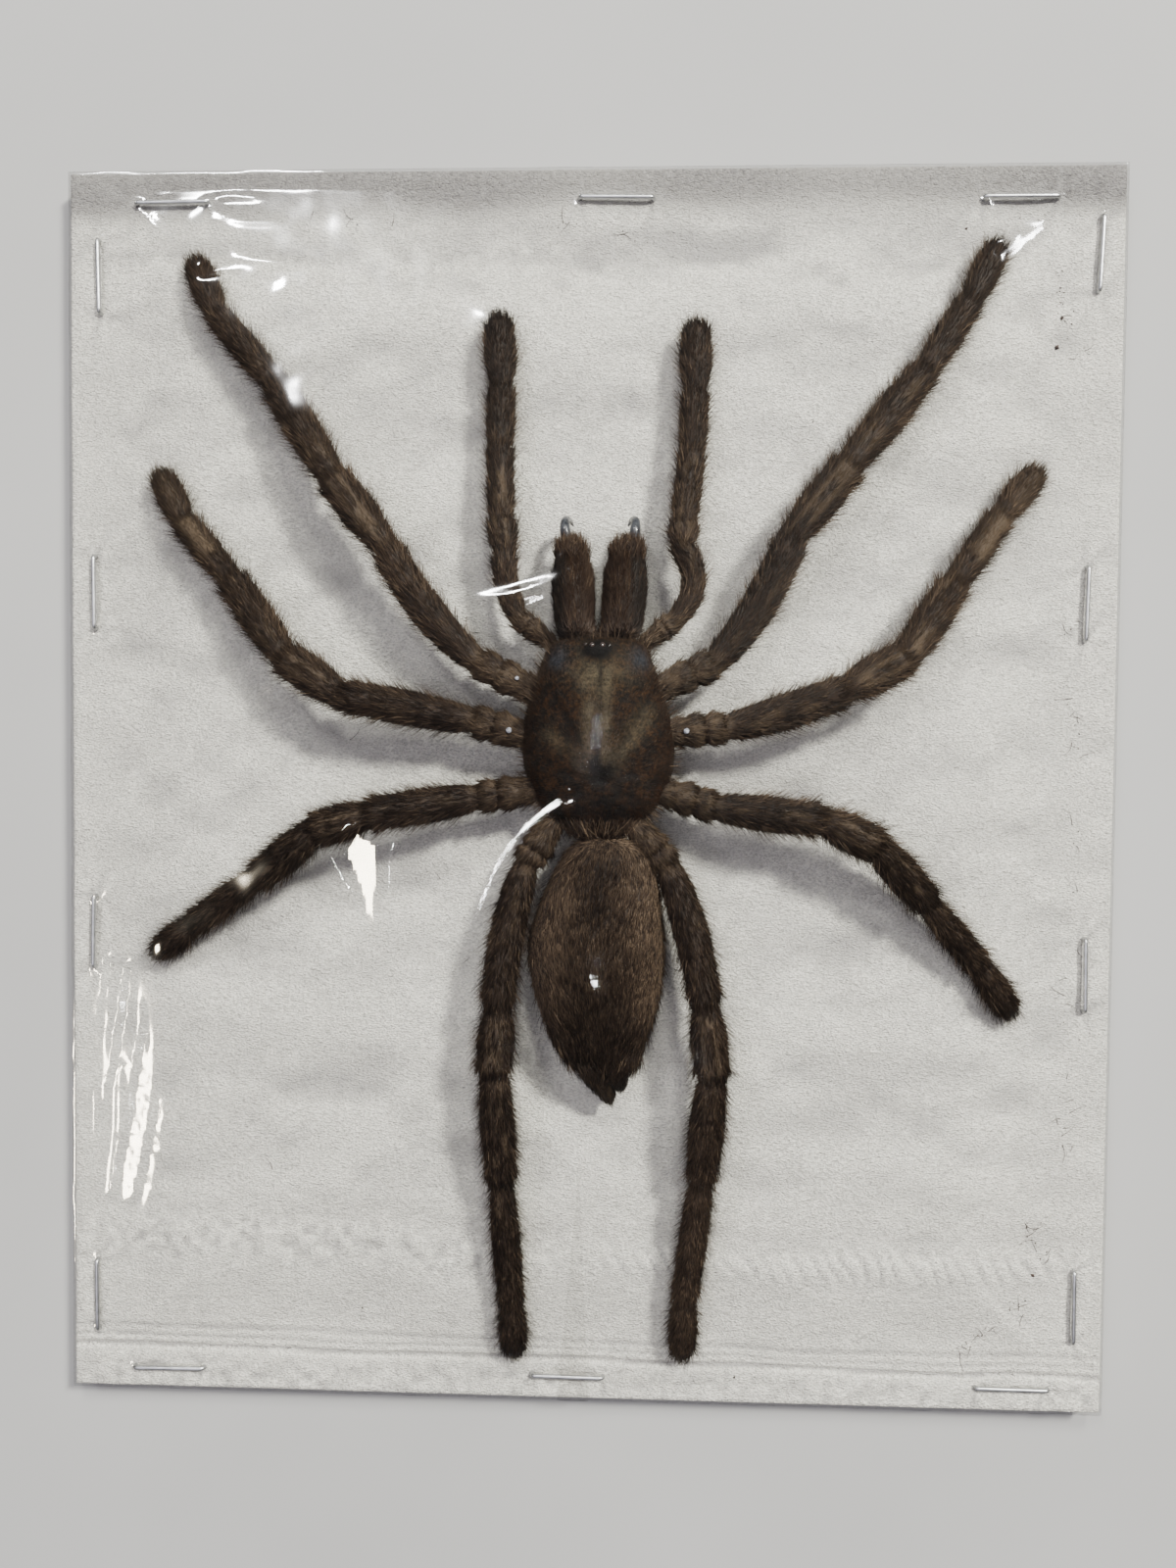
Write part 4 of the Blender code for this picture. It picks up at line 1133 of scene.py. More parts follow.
def add_hairs(shape, roots, draw, length, width, lift, *, tone, sway=0.15, comb=None, tan=0.0,
              rust=0.0, curl=0.0):
    """Hairs as thin spikes out of the skin. With a curl each one has a bend in its middle.

    The width is a share of the set hair width. The tone is each hair's, or one brightness.
    """
    count = len(roots.point)
    if np.isscalar(tone):
        tone = fur_tones(roots, draw, tone)
    rise = np.radians(draw.normal(lift, 7, count))[:, None]
    flow = roots.ahead if comb is None else unit(roots.ahead + comb(roots))
    heading = unit(flow * np.cos(rise) + roots.normal * np.sin(rise)
                   + roots.around * draw.normal(0, sway, (count, 1)))
    length = (length * draw.uniform(0.7, 1.25, count))[:, None]
    width = sizes().hair_width / MM * width * draw.uniform(0.75, 1.25, count)[:, None]
    side = unit(np.cross(heading, roots.normal + 0.001))
    up = np.cross(side, heading)
    sunk = roots.point - heading * 0.12
    knee = keep_between_sheets(sunk + heading * length * 0.55)
    drift = unit(heading + curl * (roots.around * draw.choice([-1, 1], (count, 1)) + flow
                                   - np.array([0, 0, 0.6])))
    tip = knee + drift * length * 0.45 if curl else sunk + heading * length
    tip = keep_between_sheets(tip)
    triangle = [np.cos(a) * side + np.sin(a) * up for a in np.radians([90, 210, 330])]
    base = [sunk + corner * width / 2 for corner in triangle]
    tan, rust = np.broadcast_to(tan, count), np.broadcast_to(rust, count)
    if curl:
        middle = [knee + corner * width * 0.36 for corner in triangle]
        stack, tones = [*base, *middle, tip], [0.8] * 3 + [1.0] * 3 + [1.15]
    else:
        stack, tones = [*base, tip], [0.8] * 3 + [1.15]
    per_hair = len(stack)
    first = (np.arange(count) * per_hair)[:, None]
    if curl:
        walls = [first + row for row in ([0, 1, 4, 3], [1, 2, 5, 4], [2, 0, 3, 5])]
        ends = [first + row for row in ([3, 4, 6], [4, 5, 6], [5, 3, 6])]
        faces = np.concatenate(walls), np.concatenate(ends)
    else:
        faces = (np.concatenate([first + row for row in ([0, 1, 3], [1, 2, 3], [2, 0, 3])]),)
    points = np.stack(stack, axis=1)
    shape.add(points, *faces, slot=HAIR_SLOT, tone=np.clip(np.outer(tone, tones), 0, 1).ravel(),
              tan=np.repeat(tan, per_hair), rust=np.repeat(rust, per_hair))


TUCK = 2.2  # how far a limb's root runs in under the carapace
TIP_LENGTH = 1.4  # over what length a limb's end is rounded
PINCH = 0.17  # how much of its radius a limb loses in the notch at a joint
SLIM = 0.89  # a limb's skin against its girth, which takes in the fur


def tube(centres, ahead, radii, marks, sides, upwards, flatness=1.0):
    """A skin of rings along a line, each as round as the flatness says."""
    side = unit(np.cross(ahead, upwards))
    up = np.cross(side, ahead)
    angle = angles_round(sides)
    ring = (side[:, None] * np.cos(angle)[None, :, None]
            + up[:, None] * flatness * np.sin(angle)[None, :, None])
    return Skin(centres[:, None] + ring * radii[:, None, None], marks)


def limb_skin(joints, bow, girths, outwards, rings=11, sides=20):
    """The skin of a jointed limb. Its marks count segments: 2.5 is the middle of the patella."""
    points = np.array([(x, y, float(pad_top(x, y)) + h) for x, y, h in joints])
    stations = []  # (centre, radius, mark) of every ring
    inward = unit(points[0] - points[1])
    for t in (1.0, 0.75, 0.5, 0.25):
        radius = girths[0][0] * SLIM * math.sqrt(1 - 0.6 * t * t)
        stations.append((points[0] + inward * TUCK * t, radius, -0.3 * t))
    for index, (start, end) in enumerate(zip(points, points[1:])):
        ahead = end - start
        length = np.linalg.norm(ahead)
        sideways = np.array([-ahead[1], ahead[0], 0]) / np.hypot(ahead[0], ahead[1])
        if sideways[0] * outwards < 0:
            sideways = -sideways
        for t in np.linspace(0, 1, rings, endpoint=False):
            bowed = sideways * (4 * t * (1 - t) * bow if index == 1 else 0)
            near, middle, far = girths[index]
            radius = near + (middle - near) * soften(2 * t) + (far - middle) * soften(2 * t - 1)
            sleeve = 0.09 * bell((1 - t) * length - 0.9, 0.9)  # the fur stands off before a joint
            pinch = PINCH * ((index > 0) * bell(t * length, 0.7) + bell((1 - t) * length, 0.22))
            pinch -= sleeve * (index < TARSUS)
            if index == 0:
                pinch += 0.2 * bell(t - 0.55, 0.08) - 0.1 * bell(t - 0.3, 0.14)
            left = (1 - t) * length + 0.3 if index == TARSUS else 9
            rounded = math.sqrt(max(0.02, 1 - max(0, 1 - left / TIP_LENGTH) ** 2))
            radius = radius * SLIM * (1 - pinch) * rounded
            stations.append((start + ahead * t + bowed, radius, index + t))
    for past in (0.0, 0.2, 0.3):
        rounded = math.sqrt(1 - (1 - (0.3 - past) / TIP_LENGTH) ** 2)
        stations.append((points[-1] + unit(points[-1] - points[-2]) * past,
                         girths[-1][2] * SLIM * max(0.15, rounded), len(girths) - 0.001))
    centres, radii, marks = (np.array(column) for column in zip(*stations))
    keep = np.append(True, np.linalg.norm(np.diff(centres, axis=0), axis=1) > 0.05)
    centres, radii, marks = centres[keep], radii[keep], marks[keep]
    ahead = unit(np.gradient(centres, axis=0))
    ahead = unit(ahead + np.roll(ahead, 1, axis=0) + np.roll(ahead, -1, axis=0))
    ahead[0], ahead[-1] = ahead[1], ahead[-2]
    return tube(centres, ahead, radii, marks, sides, (0, 0, 1), FLATNESS)


def body_skin(stations, fur, rings, sides, push=None, blunt=0.6):
    """The skin of a body, this much fur below its solid. Its marks are places along the card."""
    table = np.array(stations)
    places = np.linspace(0, len(table) - 1, rings)
    y, middle, half, low, level, high = (smooth_through(table[:, k], places) for k in range(6))
    end = np.minimum(places, places[-1] - places) / blunt
    taper = np.sqrt(np.clip(1 - (1 - np.clip(end, 0, 1)) ** 2, 0.02, 1))
    half, high, low = half - fur, high - fur, low + fur
    angle = angles_round(sides)
    cos, sin = np.cos(angle), np.sin(angle)
    across = np.copysign(np.abs(cos) ** BODY_FULLNESS, cos)
    rise = np.where(sin > 0, (high - level)[:, None], (level - low)[:, None])
    x = middle[:, None] + (half * taper)[:, None] * across
    z = level[:, None] + rise * taper[:, None] * sin
    yy = np.broadcast_to(y[:, None], x.shape)
    rings_at = np.stack([x, yy, pad_top(x, yy) + z], axis=-1)
    if push:
        rings_at[..., 2] += push(x, yy, sin)
    return Skin(rings_at, y)


# ---------------- the spider


CARAPACE_FUR, ABDOMEN_FUR, JAW_FUR = 0.12, 0.5, 0.35  # how far each skin is below its solid
STREAK_ANGLES = (68, 112)  # the two bald streaks on top of a patella or tibia, in degrees
BALD_TIPS = {"leg_2_left": 0.62, "leg_2_right": 0.55}  # legs whose last segments are rubbed
BALD_SHARES = {"leg_1_right": 0.3}  # how tan a limb's bald blotches are, if not like the others'
BALD_SHARE = 0.5
TARSUS_DARK = 0.5  # how far along its tarsus a limb's fur turns darker
LIMB_TONES_AND_PAINTED_SHADE = {  # how much lighter or darker a limb's fur is, at its root and at its tip; the right legs' darker values are painted shade
    "leg_1_left": (-0.06, -0.02), "leg_2_left": (-0.06, -0.06), "leg_3_left": (-0.06, 0.02),
    "leg_4_left": (0.06, 0.1), "leg_1_right": (-0.45, -0.3), "leg_2_right": (-0.22, -0.12),
    "leg_3_right": (-0.3, 0.06), "leg_4_right": (0.0, 0.5),
    "pedipalp_left": (-0.14, -0.42), "pedipalp_right": (-0.1, -0.24),
}


def limb_tan(name, mark, angle):
    """How tan a place on a limb is: streaked knees, bald blotches, rubbed tips, golden roots."""
    degrees = np.degrees(angle) % 360
    top = bell(turned_from(degrees, 90), 62)
    streak = sum(bell(degrees - centre, 9) for centre in STREAK_ANGLES)
    knee = within(mark, PATELLA + 0.1, PATELLA + 0.98, 0.12)
    shin = 0.7 * within(mark, TIBIA + 0.04, TIBIA + 0.4, 0.12)
    tan = 0.4 * streak * np.maximum(knee, shin)
    own = 7.3 * list({**LEGS, **PALPS}).index(name)
    blotch = (soft_noise(5 * mark + own, degrees / 24, 1.0, 92)
              + 0.5 * soft_noise(14 * mark + own, degrees / 12, 1.0, 93))
    bald = soften((blotch - 0.46) / 0.2) * top * within(mark, 1.06, METATARSUS + 0.3, 0.2)
    bald = bald * np.where(mark < 2, 0.6, 1.0)  # the femurs keep more of their fur
    tan = np.maximum(tan, BALD_SHARES.get(name, BALD_SHARE) * bald)
    knob = (0.22 + 0.34 * soft_noise(9 * mark + own, degrees / 20, 1.0, 94)) * (mark < 1.08)
    tan = np.maximum(tan, knob)
    rubbed = BALD_TIPS.get(name, 0)
    if rubbed:
        side = bell(turned_from(degrees, 60), 62)
        toes = (within(mark, METATARSUS + 0.25, METATARSUS + 1.0, 0.1)
                + 0.35 * within(mark, TARSUS + 0.05, TARSUS + 1.1, 0.08))
        tan = np.maximum(tan, rubbed * side * np.clip(toes, 0, 1))
    return np.clip(tan, 0, 1)


def outward_sign(name):
    """-1 for a piece on the left and 1 for one on the right."""
    return -1 if name.endswith("left") else 1


def fur_tones(roots, draw, brightness, spread=0.18):
    """Each hair's own shade, with neighbours alike and every fourth one or so much paler."""
    lumps = soft_noise(roots.point[:, 0], roots.point[:, 1], 1.3, 61)
    pale = 0.34 * (draw.random(len(lumps)) < 0.22)
    return np.clip(brightness - 0.08 + pale + 0.18 * lumps + draw.normal(0, spread, len(lumps)),
                   0.02, 1)


def furred(shape, name):
    """Makes a piece of a skin with hair on it."""
    return wear(shape.build(name + "_furred", skin_finish(), fur_finish()), "fur", name)


def limb_piece(name, joints, bow, girths, hairs, bristles, seed):
    """A furred limb: skin, short fur along it, and long thin hairs out of its sides."""
    skin = limb_skin(joints, bow, girths, outward_sign(name))
    draw = np.random.default_rng(seed)
    shape = Shape()
    skin.add_to(shape, lambda at: {"tan": limb_tan(name, at.mark, at.angle), "tone": 0.5})

    roots = skin.roots(hairs, draw)
    tan = limb_tan(name, roots.mark, roots.angle)
    # the right legs' darker offsets are painted shade
    shade_root, shade_tip = LIMB_TONES_AND_PAINTED_SHADE[name]
    tones = (fur_tones(roots, draw, 0.36) + 0.1 * (roots.mark < 1)
             + shade_root + (shade_tip - shade_root) * soften((roots.mark - 1) / 4)
             - 0.06 * within(roots.mark, TARSUS + TARSUS_DARK, 9, 0.3))
    near_joint = bell((roots.mark + 0.5) % 1 - 0.5, 0.045)
    tones = np.clip(tones + 0.14 * near_joint, 0.02, 1)
    past_joint = roots.mark % 1
    before_joint = bell(past_joint - 0.93, 0.08)
    sleeve = 1 + 0.35 * before_joint - 0.45 * bell(past_joint, 0.06)
    length = sizes().hair_length / MM * (np.where(tan > 0.35, 0.45, 1.0) * sleeve)
    add_hairs(shape, roots, draw, length, 1.0, 16 + 9 * before_joint, tone=tones, tan=tan * 0.8)

    def flanks(at):
        return (np.abs(at.normal[..., 2]) < 0.75) * np.clip(at.mark - 0.6, 0, 1)

    length = sizes().bristle_length / MM
    roots = skin.roots(bristles, draw, flanks)
    add_hairs(shape, roots, draw, length, 0.5, 42, sway=0.35, tone=0.42, curl=0.3)
    roots = skin.roots(4 * bristles, draw, flanks)
    add_hairs(shape, roots, draw, 0.8 * length, 0.6, 38, sway=0.3, tone=0.45)
    return furred(shape, name)


def cone_skin(stations, rings=22, sides=16):
    """The skin of a small curved cone."""
    table = np.array([(x, y, float(pad_top(x, y)) + h, r) for x, y, h, r in stations])
    places = np.linspace(0, len(table) - 1, rings)
    centres = np.stack([smooth_through(table[:, k], places) for k in range(3)], axis=-1)
    radii = smooth_through(table[:, 3], places)
    ahead = unit(np.gradient(centres, axis=0))
    return tube(centres, ahead, np.maximum(radii, 0.05), places, sides, (0.02, 0, 1))


def carapace_grooves(x, y):
    """How deep the carapace is grooved: spokes round the fovea, the neck line and a midline."""
    dx, dy = x - FOVEA[0], y - FOVEA[1]
    distance, angle = np.hypot(dx, dy), np.degrees(np.arctan2(dx, dy))
    spokes = 0
    for spoke in GROOVE_ANGLES:
        for direction in (spoke, -spoke):
            off = np.radians(turned_from(angle, direction)) * distance
            reach = soften((distance - 1.0) / 1.5) * soften((7.0 - distance) / 4)
            spokes = spokes + 0.4 * bell(off, 0.4) * reach
    neck = sum(0.45 * bell(from_segment(x, y, FOVEA, corner)[0], 0.45) for corner in NECK_CORNERS)
    pit = 1.5 * bell(np.hypot(dx, 1.4 * dy), 0.85)
    line = 0.9 * bell(dx - 0.02 * dy + 0.3, 0.24) * within(y, FOVEA[1], EYE_MOUND[1] - 1, 1.5)
    return np.clip(spokes + neck + pit + line, 0, 1.6)


def carapace_push(x, y, sin):
    """Grooves, the eye mound and low lumps, on the upper side alone."""
    mound = np.hypot((x - EYE_MOUND[0]) / 1.9, (y - EYE_MOUND[1]) / 1.15)
    relief = (0.75 * bell(mound, 1.0) - 0.26 * carapace_grooves(x, y)
              + 0.12 * soft_noise(x, y, 1.7, 71) + 0.06 * soft_noise(x, y, 0.7, 72))
    return np.where(sin > 0.05, relief * soften(sin * 2.5), 0)


def carapace_paint(places):
    """Olive bands beside the midline, rusty margins, blue-grey front corners, dark pits, and painted
    shade on the right side.
    """
    x, y = places.point[:, 0], places.point[:, 1]
    off = x - FOVEA[0] + 0.35
    ragged = 0.5 * soft_noise(x, y, 1.4, 73) + 0.4 * soft_noise(x * 2.2, y * 0.6, 1.0, 74)
    bands = bell(np.abs(off + 0.1) - 0.85, 0.75) * within(y, 3.0, 15.5, 3)
    right = 0.75 * bell(from_segment(x, y, (3.3, 3.8), (7.4, 9.6))[0], 1.1)
    left = 0.5 * bell(from_segment(x, y, (0.6, 3.6), (-3.8, 7.0))[0], 0.9)
    specks = 0.8 * bell(np.hypot((off - 0.1) / 3.4, (y - 14.4) / 2.4), 1.0)
    tan = (bands + right + left + specks) * (0.75 + 0.7 * ragged)
    radius = np.interp(-y, [-s[0] for s in CEPHALOTHORAX], [s[2] for s in CEPHALOTHORAX])
    margin = soften((np.abs(x - 1.7) / radius - 0.78) / 0.15) * (0.7 + 0.5 * ragged)
    cool = sum(bell(np.hypot((x - at_x) / 1.3, (y - 15.6) / 1.4), 1.0) for at_x in (-2.9, 6.7))
    mound = 1.9 * bell(np.hypot((x - EYE_MOUND[0]) / 1.8, (y - EYE_MOUND[1] + 0.2) / 1.1), 0.9)
    chevron = bell(np.hypot((x - FOVEA[0]) / 1.9, (y - 3.0) / 1.4), 1.0) * (0.8 + 0.5 * ragged)
    rear = 0.6 * within(y, -3.6, 0.9, 1.2) * bell((x - 2.4) / 4.5, 1.0)
    # painted shade: the right side is painted darker; the left edge is a little darker too
    dark = (0.9 * carapace_grooves(x, y) + mound + chevron + rear
            + 0.5 * soften((x - 7.5) / 2.5) + 0.25 * soften((-4.5 - x) / 2))
    return {"tan": np.clip(tan, 0, 0.9), "margin": np.clip(margin * 0.8, 0, 1),
            "cool": np.clip(cool * (0.8 + 0.5 * ragged), 0, 0.9),
            "groove": np.clip(dark, 0, 0.97), "tone": 0.5}


def dome(shape, x, y, z, radius, slot, rings=5, sides=12):
    """A small round lens that stands half out of what carries it."""
    rise = np.radians(np.linspace(-20, 90, rings))
    angle = angles_round(sides)
    points = np.stack([x + radius * np.cos(rise)[:, None] * np.cos(angle),
                       y + radius * np.cos(rise)[:, None] * np.sin(angle),
                       z + radius * np.sin(rise)[:, None] * np.ones(sides)], axis=-1)
    numbers = np.arange(rings * sides).reshape(rings, sides)
    nextto = np.roll(numbers, -1, axis=1)
    quads = np.stack([numbers[:-1], nextto[:-1], nextto[1:], numbers[1:]], axis=-1)
    shape.add(points, quads.reshape(-1, 4), slot=slot)


def cephalothorax_piece():
    """The carapace with its eyes, its short radial hair and the pale fringe at its rear."""
    skin = body_skin(CEPHALOTHORAX, CARAPACE_FUR, rings=120, sides=120, push=carapace_push,
                     blunt=0.4)
    draw = np.random.default_rng(SEEDS["carapace"])
    shape = Shape()
    skin.add_to(shape, carapace_paint)

    def away(roots):
        """Turns hairs out from the fovea."""
        out = roots.point - np.array([FOVEA[0], FOVEA[1], 0])
        out[:, 2] = 0
        return unit(out) - roots.ahead

    roots = skin.roots(CARAPACE_HAIRS, draw, lambda at: 0.8 + (at.normal[..., 2] < 0.75))
    paint = carapace_paint(roots)
    # hairs are darker on the dark marks and on the painted shade of the right side
    tones = (fur_tones(roots, draw, 0.14) + 0.4 * paint["tan"] - 0.1 * paint["margin"]
             - 0.4 * paint["groove"])
    bare = 1 - 0.75 * np.clip(paint["cool"] + paint["groove"], 0, 1)
    add_hairs(shape, roots, draw, 0.55 * bare, 0.5, 10, sway=0.3, comb=away, tone=tones,
              tan=0.35 * paint["tan"] + 0.3 * paint["margin"])

    def rear(at):
        return within(at.mark, -4.3, -2.2, 0.6) * (at.normal[..., 2] > 0.1)

    roots = skin.roots(FRINGE_HAIRS, draw, rear)
    add_hairs(shape, roots, draw, 2.9, 0.85, 16, sway=0.22,
              tone=fur_tones(roots, draw, 0.55, 0.2), curl=0.3)

    def margin(at):
        return (np.abs(at.normal[..., 2]) < 0.5) * (1.0 + 2.0 * (at.mark < 3))

    roots = skin.roots(MARGIN_HAIRS, draw, margin)
    add_hairs(shape, roots, draw, 1.7, 0.65, 30, sway=0.45, comb=away, tone=0.5, curl=0.3)
    for x, y, radius in EYES:
        top = solid_top(x, y) - CARAPACE_FUR + float(carapace_push(x, y, 1.0))
        dome(shape, x, y, top, radius, 2)
    # pearly skin at three coxae, painted pale as a highlight
    for x, y, radius in GLINT_MEMBRANES:
        dome(shape, x, y, solid_top(x, y) + 0.15, radius, 3)
    return wear(shape.build("carapace_furred", carapace_finish(), fur_finish(), eye_finish(),
                            membrane_glint_finish()), "carapace", "cephalothorax")


def lean_in(roots, middle, share, where):
    """Leans hairs sideways to a line up the card, by this share of their distance from it."""
    pull = np.zeros_like(roots.point)
    pull[:, 0] = -share * (roots.point[:, 0] - middle) * where
    return pull


def abdomen_piece():
    """The abdomen: fur combed to the rear and in towards the middle."""
    stations = [(y, middle, half + more, *levels)
                for (y, middle, half, *levels), more in zip(ABDOMEN, FULLER_FRONT)]
    skin = body_skin(stations, ABDOMEN_FUR, rings=60, sides=56, blunt=0.45)
    draw = np.random.default_rng(SEEDS["abdomen"])
    shape = Shape()

    def shade(points):
        """Tan flanks, a dark front middle and a dark rear."""
        x, y = points[:, 0], points[:, 1]
        flank = soften((np.abs(x - 2.1) - 1.6) / 3.2) * within(y, -28, -6, 5)
        front = bell(x - 2.2, 2.4) * within(y, -16, -4, 4)
        rear = soften((-27 - y) / 5)
        return 0.22 * flank - 0.34 * front - 0.14 * rear

    skin.add_to(shape, lambda at: {"tan": 0.0, "tone": 0.5 + shade(at.point)})

    def inwards(roots):
        return lean_in(roots, 2.2, 0.09, roots.normal[:, 2] > 0.1)

    roots = skin.roots(ABDOMEN_HAIRS, draw)
    tones = np.clip(fur_tones(roots, draw, 0.74, 0.24) + shade(roots.point), 0.02, 1)
    add_hairs(shape, roots, draw, 1.5, 1.0, 15, sway=0.16, comb=inwards, tone=tones)

    def flanks(at):
        tufts = sum(bell(np.hypot(at.point[..., 0] - x, at.point[..., 1] - y), 0.8)
                    for x, y in TAIL_TUFTS)
        sides = (np.abs(at.normal[..., 2]) < 0.7) * 1.0
        return sides + 3.0 * soften((-28 - at.mark) / 3) + 40 * tufts

    roots = skin.roots(ABDOMEN_BRISTLES, draw, flanks)
    add_hairs(shape, roots, draw, 2.3, 0.8, 30, sway=0.3, comb=inwards, tone=0.35, curl=0.25)
    return furred(shape, "abdomen")


def jaw_piece(name, seed):
    """A jaw: coarse fur, rusty on the inner side, bare and grey on the outer."""
    root = (17.8, CHELICERAE[name][0][1], 2.5, 2.0, 5.0, 8.6)  # hidden under the carapace
    trimmed = [(y, x, half - less, *levels)
               for (y, x, half, *levels), less in zip(CHELICERAE[name][1:], JAW_TRIM)]
    skin = body_skin([root, *trimmed], JAW_FUR, rings=40, sides=32)
    middle = np.mean([station[1] for station in CHELICERAE[name]])
    draw = np.random.default_rng(seed)
    shape = Shape()

    def outer(points):
        """1 on the jaw's outer side and 0 on its inner side."""
        return soften((outward_sign(name) * (points[..., 0] - middle) - 0.3) / 0.9)

    def inwards(roots):
        """Hairs near the front lean in towards the fang."""
        fang = FANGS[name.replace("chelicera", "fang")][0][0]
        return lean_in(roots, fang, 0.2, soften((roots.point[:, 1] - 25) / 3))

    skin.add_to(shape, lambda at: {"tan": 0.06 * (1 - outer(at.point)),
                                   "tone": 0.12 - 0.12 * outer(at.point)})
    roots = skin.roots(JAW_HAIRS, draw, lambda at: 1.0 - 0.75 * outer(at.point))
    locks = soft_noise(roots.point[:, 0] * 2.2, roots.point[:, 1] * 0.5, 1.0, 95)
    tones = np.clip(fur_tones(roots, draw, 0.12, 0.2) + 0.28 * locks - 0.2 * outer(roots.point),
                    0.02, 1)
    add_hairs(shape, roots, draw, 1.4, 0.9, 14, sway=0.16, comb=inwards, tone=tones,
              rust=0.3 * (1 - outer(roots.point)))

    roots = skin.roots(JAW_BRISTLES, draw, lambda at: soften((at.mark - 26.5) / 1.5))
    add_hairs(shape, roots, draw, 2.2, 0.8, 26, sway=0.45, tone=0.4, rust=0.3, curl=0.15)
    return furred(shape, name)


def fang_piece(name):
    """A curved fang, paler towards its point."""
    shape = Shape()
    cone_skin(FANGS[name]).add_to(shape, lambda at: {"tan": soften((at.mark - 1.6) / 1.6)})
    return wear(shape.build(name + "_polished", fang_finish()), "fang", name)


def spinneret_piece(name, seed):
    """A shrunken leathery lobe, broad where it leaves the abdomen."""
    skin = cone_skin(LOBES[name])
    draw = np.random.default_rng(seed)
    shape = Shape()
    skin.add_to(shape, lambda at: {"tan": 0.35 * soften(at.mark / 2), "tone": 0.5})
    roots = skin.roots(SPINNERET_HAIRS, draw)
    add_hairs(shape, roots, draw, 0.9, 1.0, 16, tone=0.4)
    return furred(shape, name)


# ---------------- card, wire and sheets


def staple_path():
    """Half of a staple's wire, from the middle of its crown to its clinched end."""
    out, top, low, bend = CROWN / 2 - WIRE_RADIUS, CROWN_HEIGHT, CLINCH_HEIGHT, WIRE_BEND
    turns = np.radians(np.linspace(0, 90, 6))
    points = [(0.0, top), (out * 0.5, top)]
    points += [(out - bend + bend * math.sin(a), top - bend + bend * math.cos(a)) for a in turns]
    points += [(out - bend + bend * math.cos(a), low + bend - bend * math.sin(a)) for a in turns]
    points += [(out - CLINCH * 0.7, low + 0.02), (out - CLINCH, low + 0.1)]
    return points


def staple_piece(name):
    """One staple of round drawn wire."""
    x, y, upright, turn = STAPLES[name]
    half = staple_path()
    outline = np.array([(-u, z) for u, z in half[:0:-1]] + half)
    angle = angles_round(WIRE_SIDES)
    ahead = unit(np.gradient(outline, axis=0))
    across = np.stack([-ahead[:, 1], ahead[:, 0]], axis=-1)
    ring_u = across[:, None, 0] * np.sin(angle) * WIRE_RADIUS + outline[:, None, 0]
    ring_z = across[:, None, 1] * np.sin(angle) * WIRE_RADIUS + outline[:, None, 1]
    ring_v = np.broadcast_to(np.cos(angle) * WIRE_RADIUS, ring_u.shape)
    heading = crown_angle(upright, turn)
    rings = np.stack([x + ring_u * math.cos(heading) - ring_v * math.sin(heading),
                      y + ring_u * math.sin(heading) + ring_v * math.cos(heading),
                      ring_z], axis=-1)
    shape = Shape()
    Skin(rings, np.arange(len(rings))).add_to(shape)
    return wear(shape.build(name + "_wire", steel_finish()), "staple_wire", name)


TISSUE_TURN = 0.4  # how far in from its sides the tissue's face starts to turn down
FINE_BELOW = -49.0  # the tissue's grid is finer below this place up the card, for the crimps
TISSUE_LINES = (300, 74, 118)  # grid lines across, and up the finer and the coarser part
TISSUE_SIDES = [  # how far in from its widest the tissue is at each level, down and under
    (0.15, 3.85), (0.02, 3.6), (0.0, 3.0), (0.0, 1.8), (0.0, BOARD_BACK),
    (TISSUE_THICKNESS, BOARD_BACK), (TISSUE_THICKNESS, TISSUE_BACK),
]
EDGE_SHADE_FROM, EDGE_SHADE_OVER = 67.6, 4.5  # where the painted shade along the top edge starts, and how soon it is full


def tissue_piece():
    """Folded tissue round the card, with crimps, an embossed band and a fold at the bottom."""
    half_x, half_y = WIDTH / 2 - TISSUE_INSET, HEIGHT / 2 - TISSUE_INSET
    edge_x, edge_y = half_x - TISSUE_TURN, half_y - TISSUE_TURN
    across, finer, coarser = TISSUE_LINES
    xs = np.linspace(-edge_x, edge_x, across)
    ys = np.concatenate([np.linspace(-edge_y, FINE_BELOW, finer)[:-1],
                         np.linspace(FINE_BELOW, edge_y, coarser)])
    shape = Shape()
    heights = tissue_top(xs[:, None], ys[None, :])
    patchy = soft_noise(xs[:, None] * 0.2, ys[None, :] * 0.6 + 0 * xs[:, None], 3.0, 15)
    # painted shade: a patchy darker band along the top edge, carried down its sides too
    greyed = soften((ys - EDGE_SHADE_FROM + 0.7 * patchy) / EDGE_SHADE_OVER) * (0.88 + 0.12 * patchy)
    # painted shade in the creases and along the top edge
    ring, edge = sheet_grid(shape, xs, ys, heights, hollow=crease_shade_map(heights), greyed=greyed)
    last = skirt(shape, ring, edge, half_x, half_y, TISSUE_SIDES,
                 greyed=greyed.ravel()[ring], hollow=0.5)
    centre = np.array([[0, 0, TISSUE_BACK]])
    fan = np.stack([np.roll(last, -1), last, np.full(len(last), shape.count)], axis=-1)
    shape.add(centre, fan - shape.count)
    piece = wear(shape.build("tissue_crepe", tissue_finish()), "tissue", "tissue_wrap")
    return piece


FILM_INSET = 0.15  # how far in from the card's edge the film's face ends
FILM_GRID = (0.44, 0.55, 14)  # its step near the edges, its step elsewhere, and how near is near
PLEAT_LINES = (-3.0, 1.4, 23)  # finer lines across the pleat: from, to and how many
PLEAT_CLEAR = 0.2  # no other line is this near to them
FILM_SIDES = [  # how far in from its face's edge the film is at each level, down and under
    (-0.1, 4.05), (-0.15, 3.8), (-0.15, 0.4), (-0.1, 0.15), (0.2, 0.06), (FLANGE / 2, 0.12),
    (FLANGE, 0.1),
]


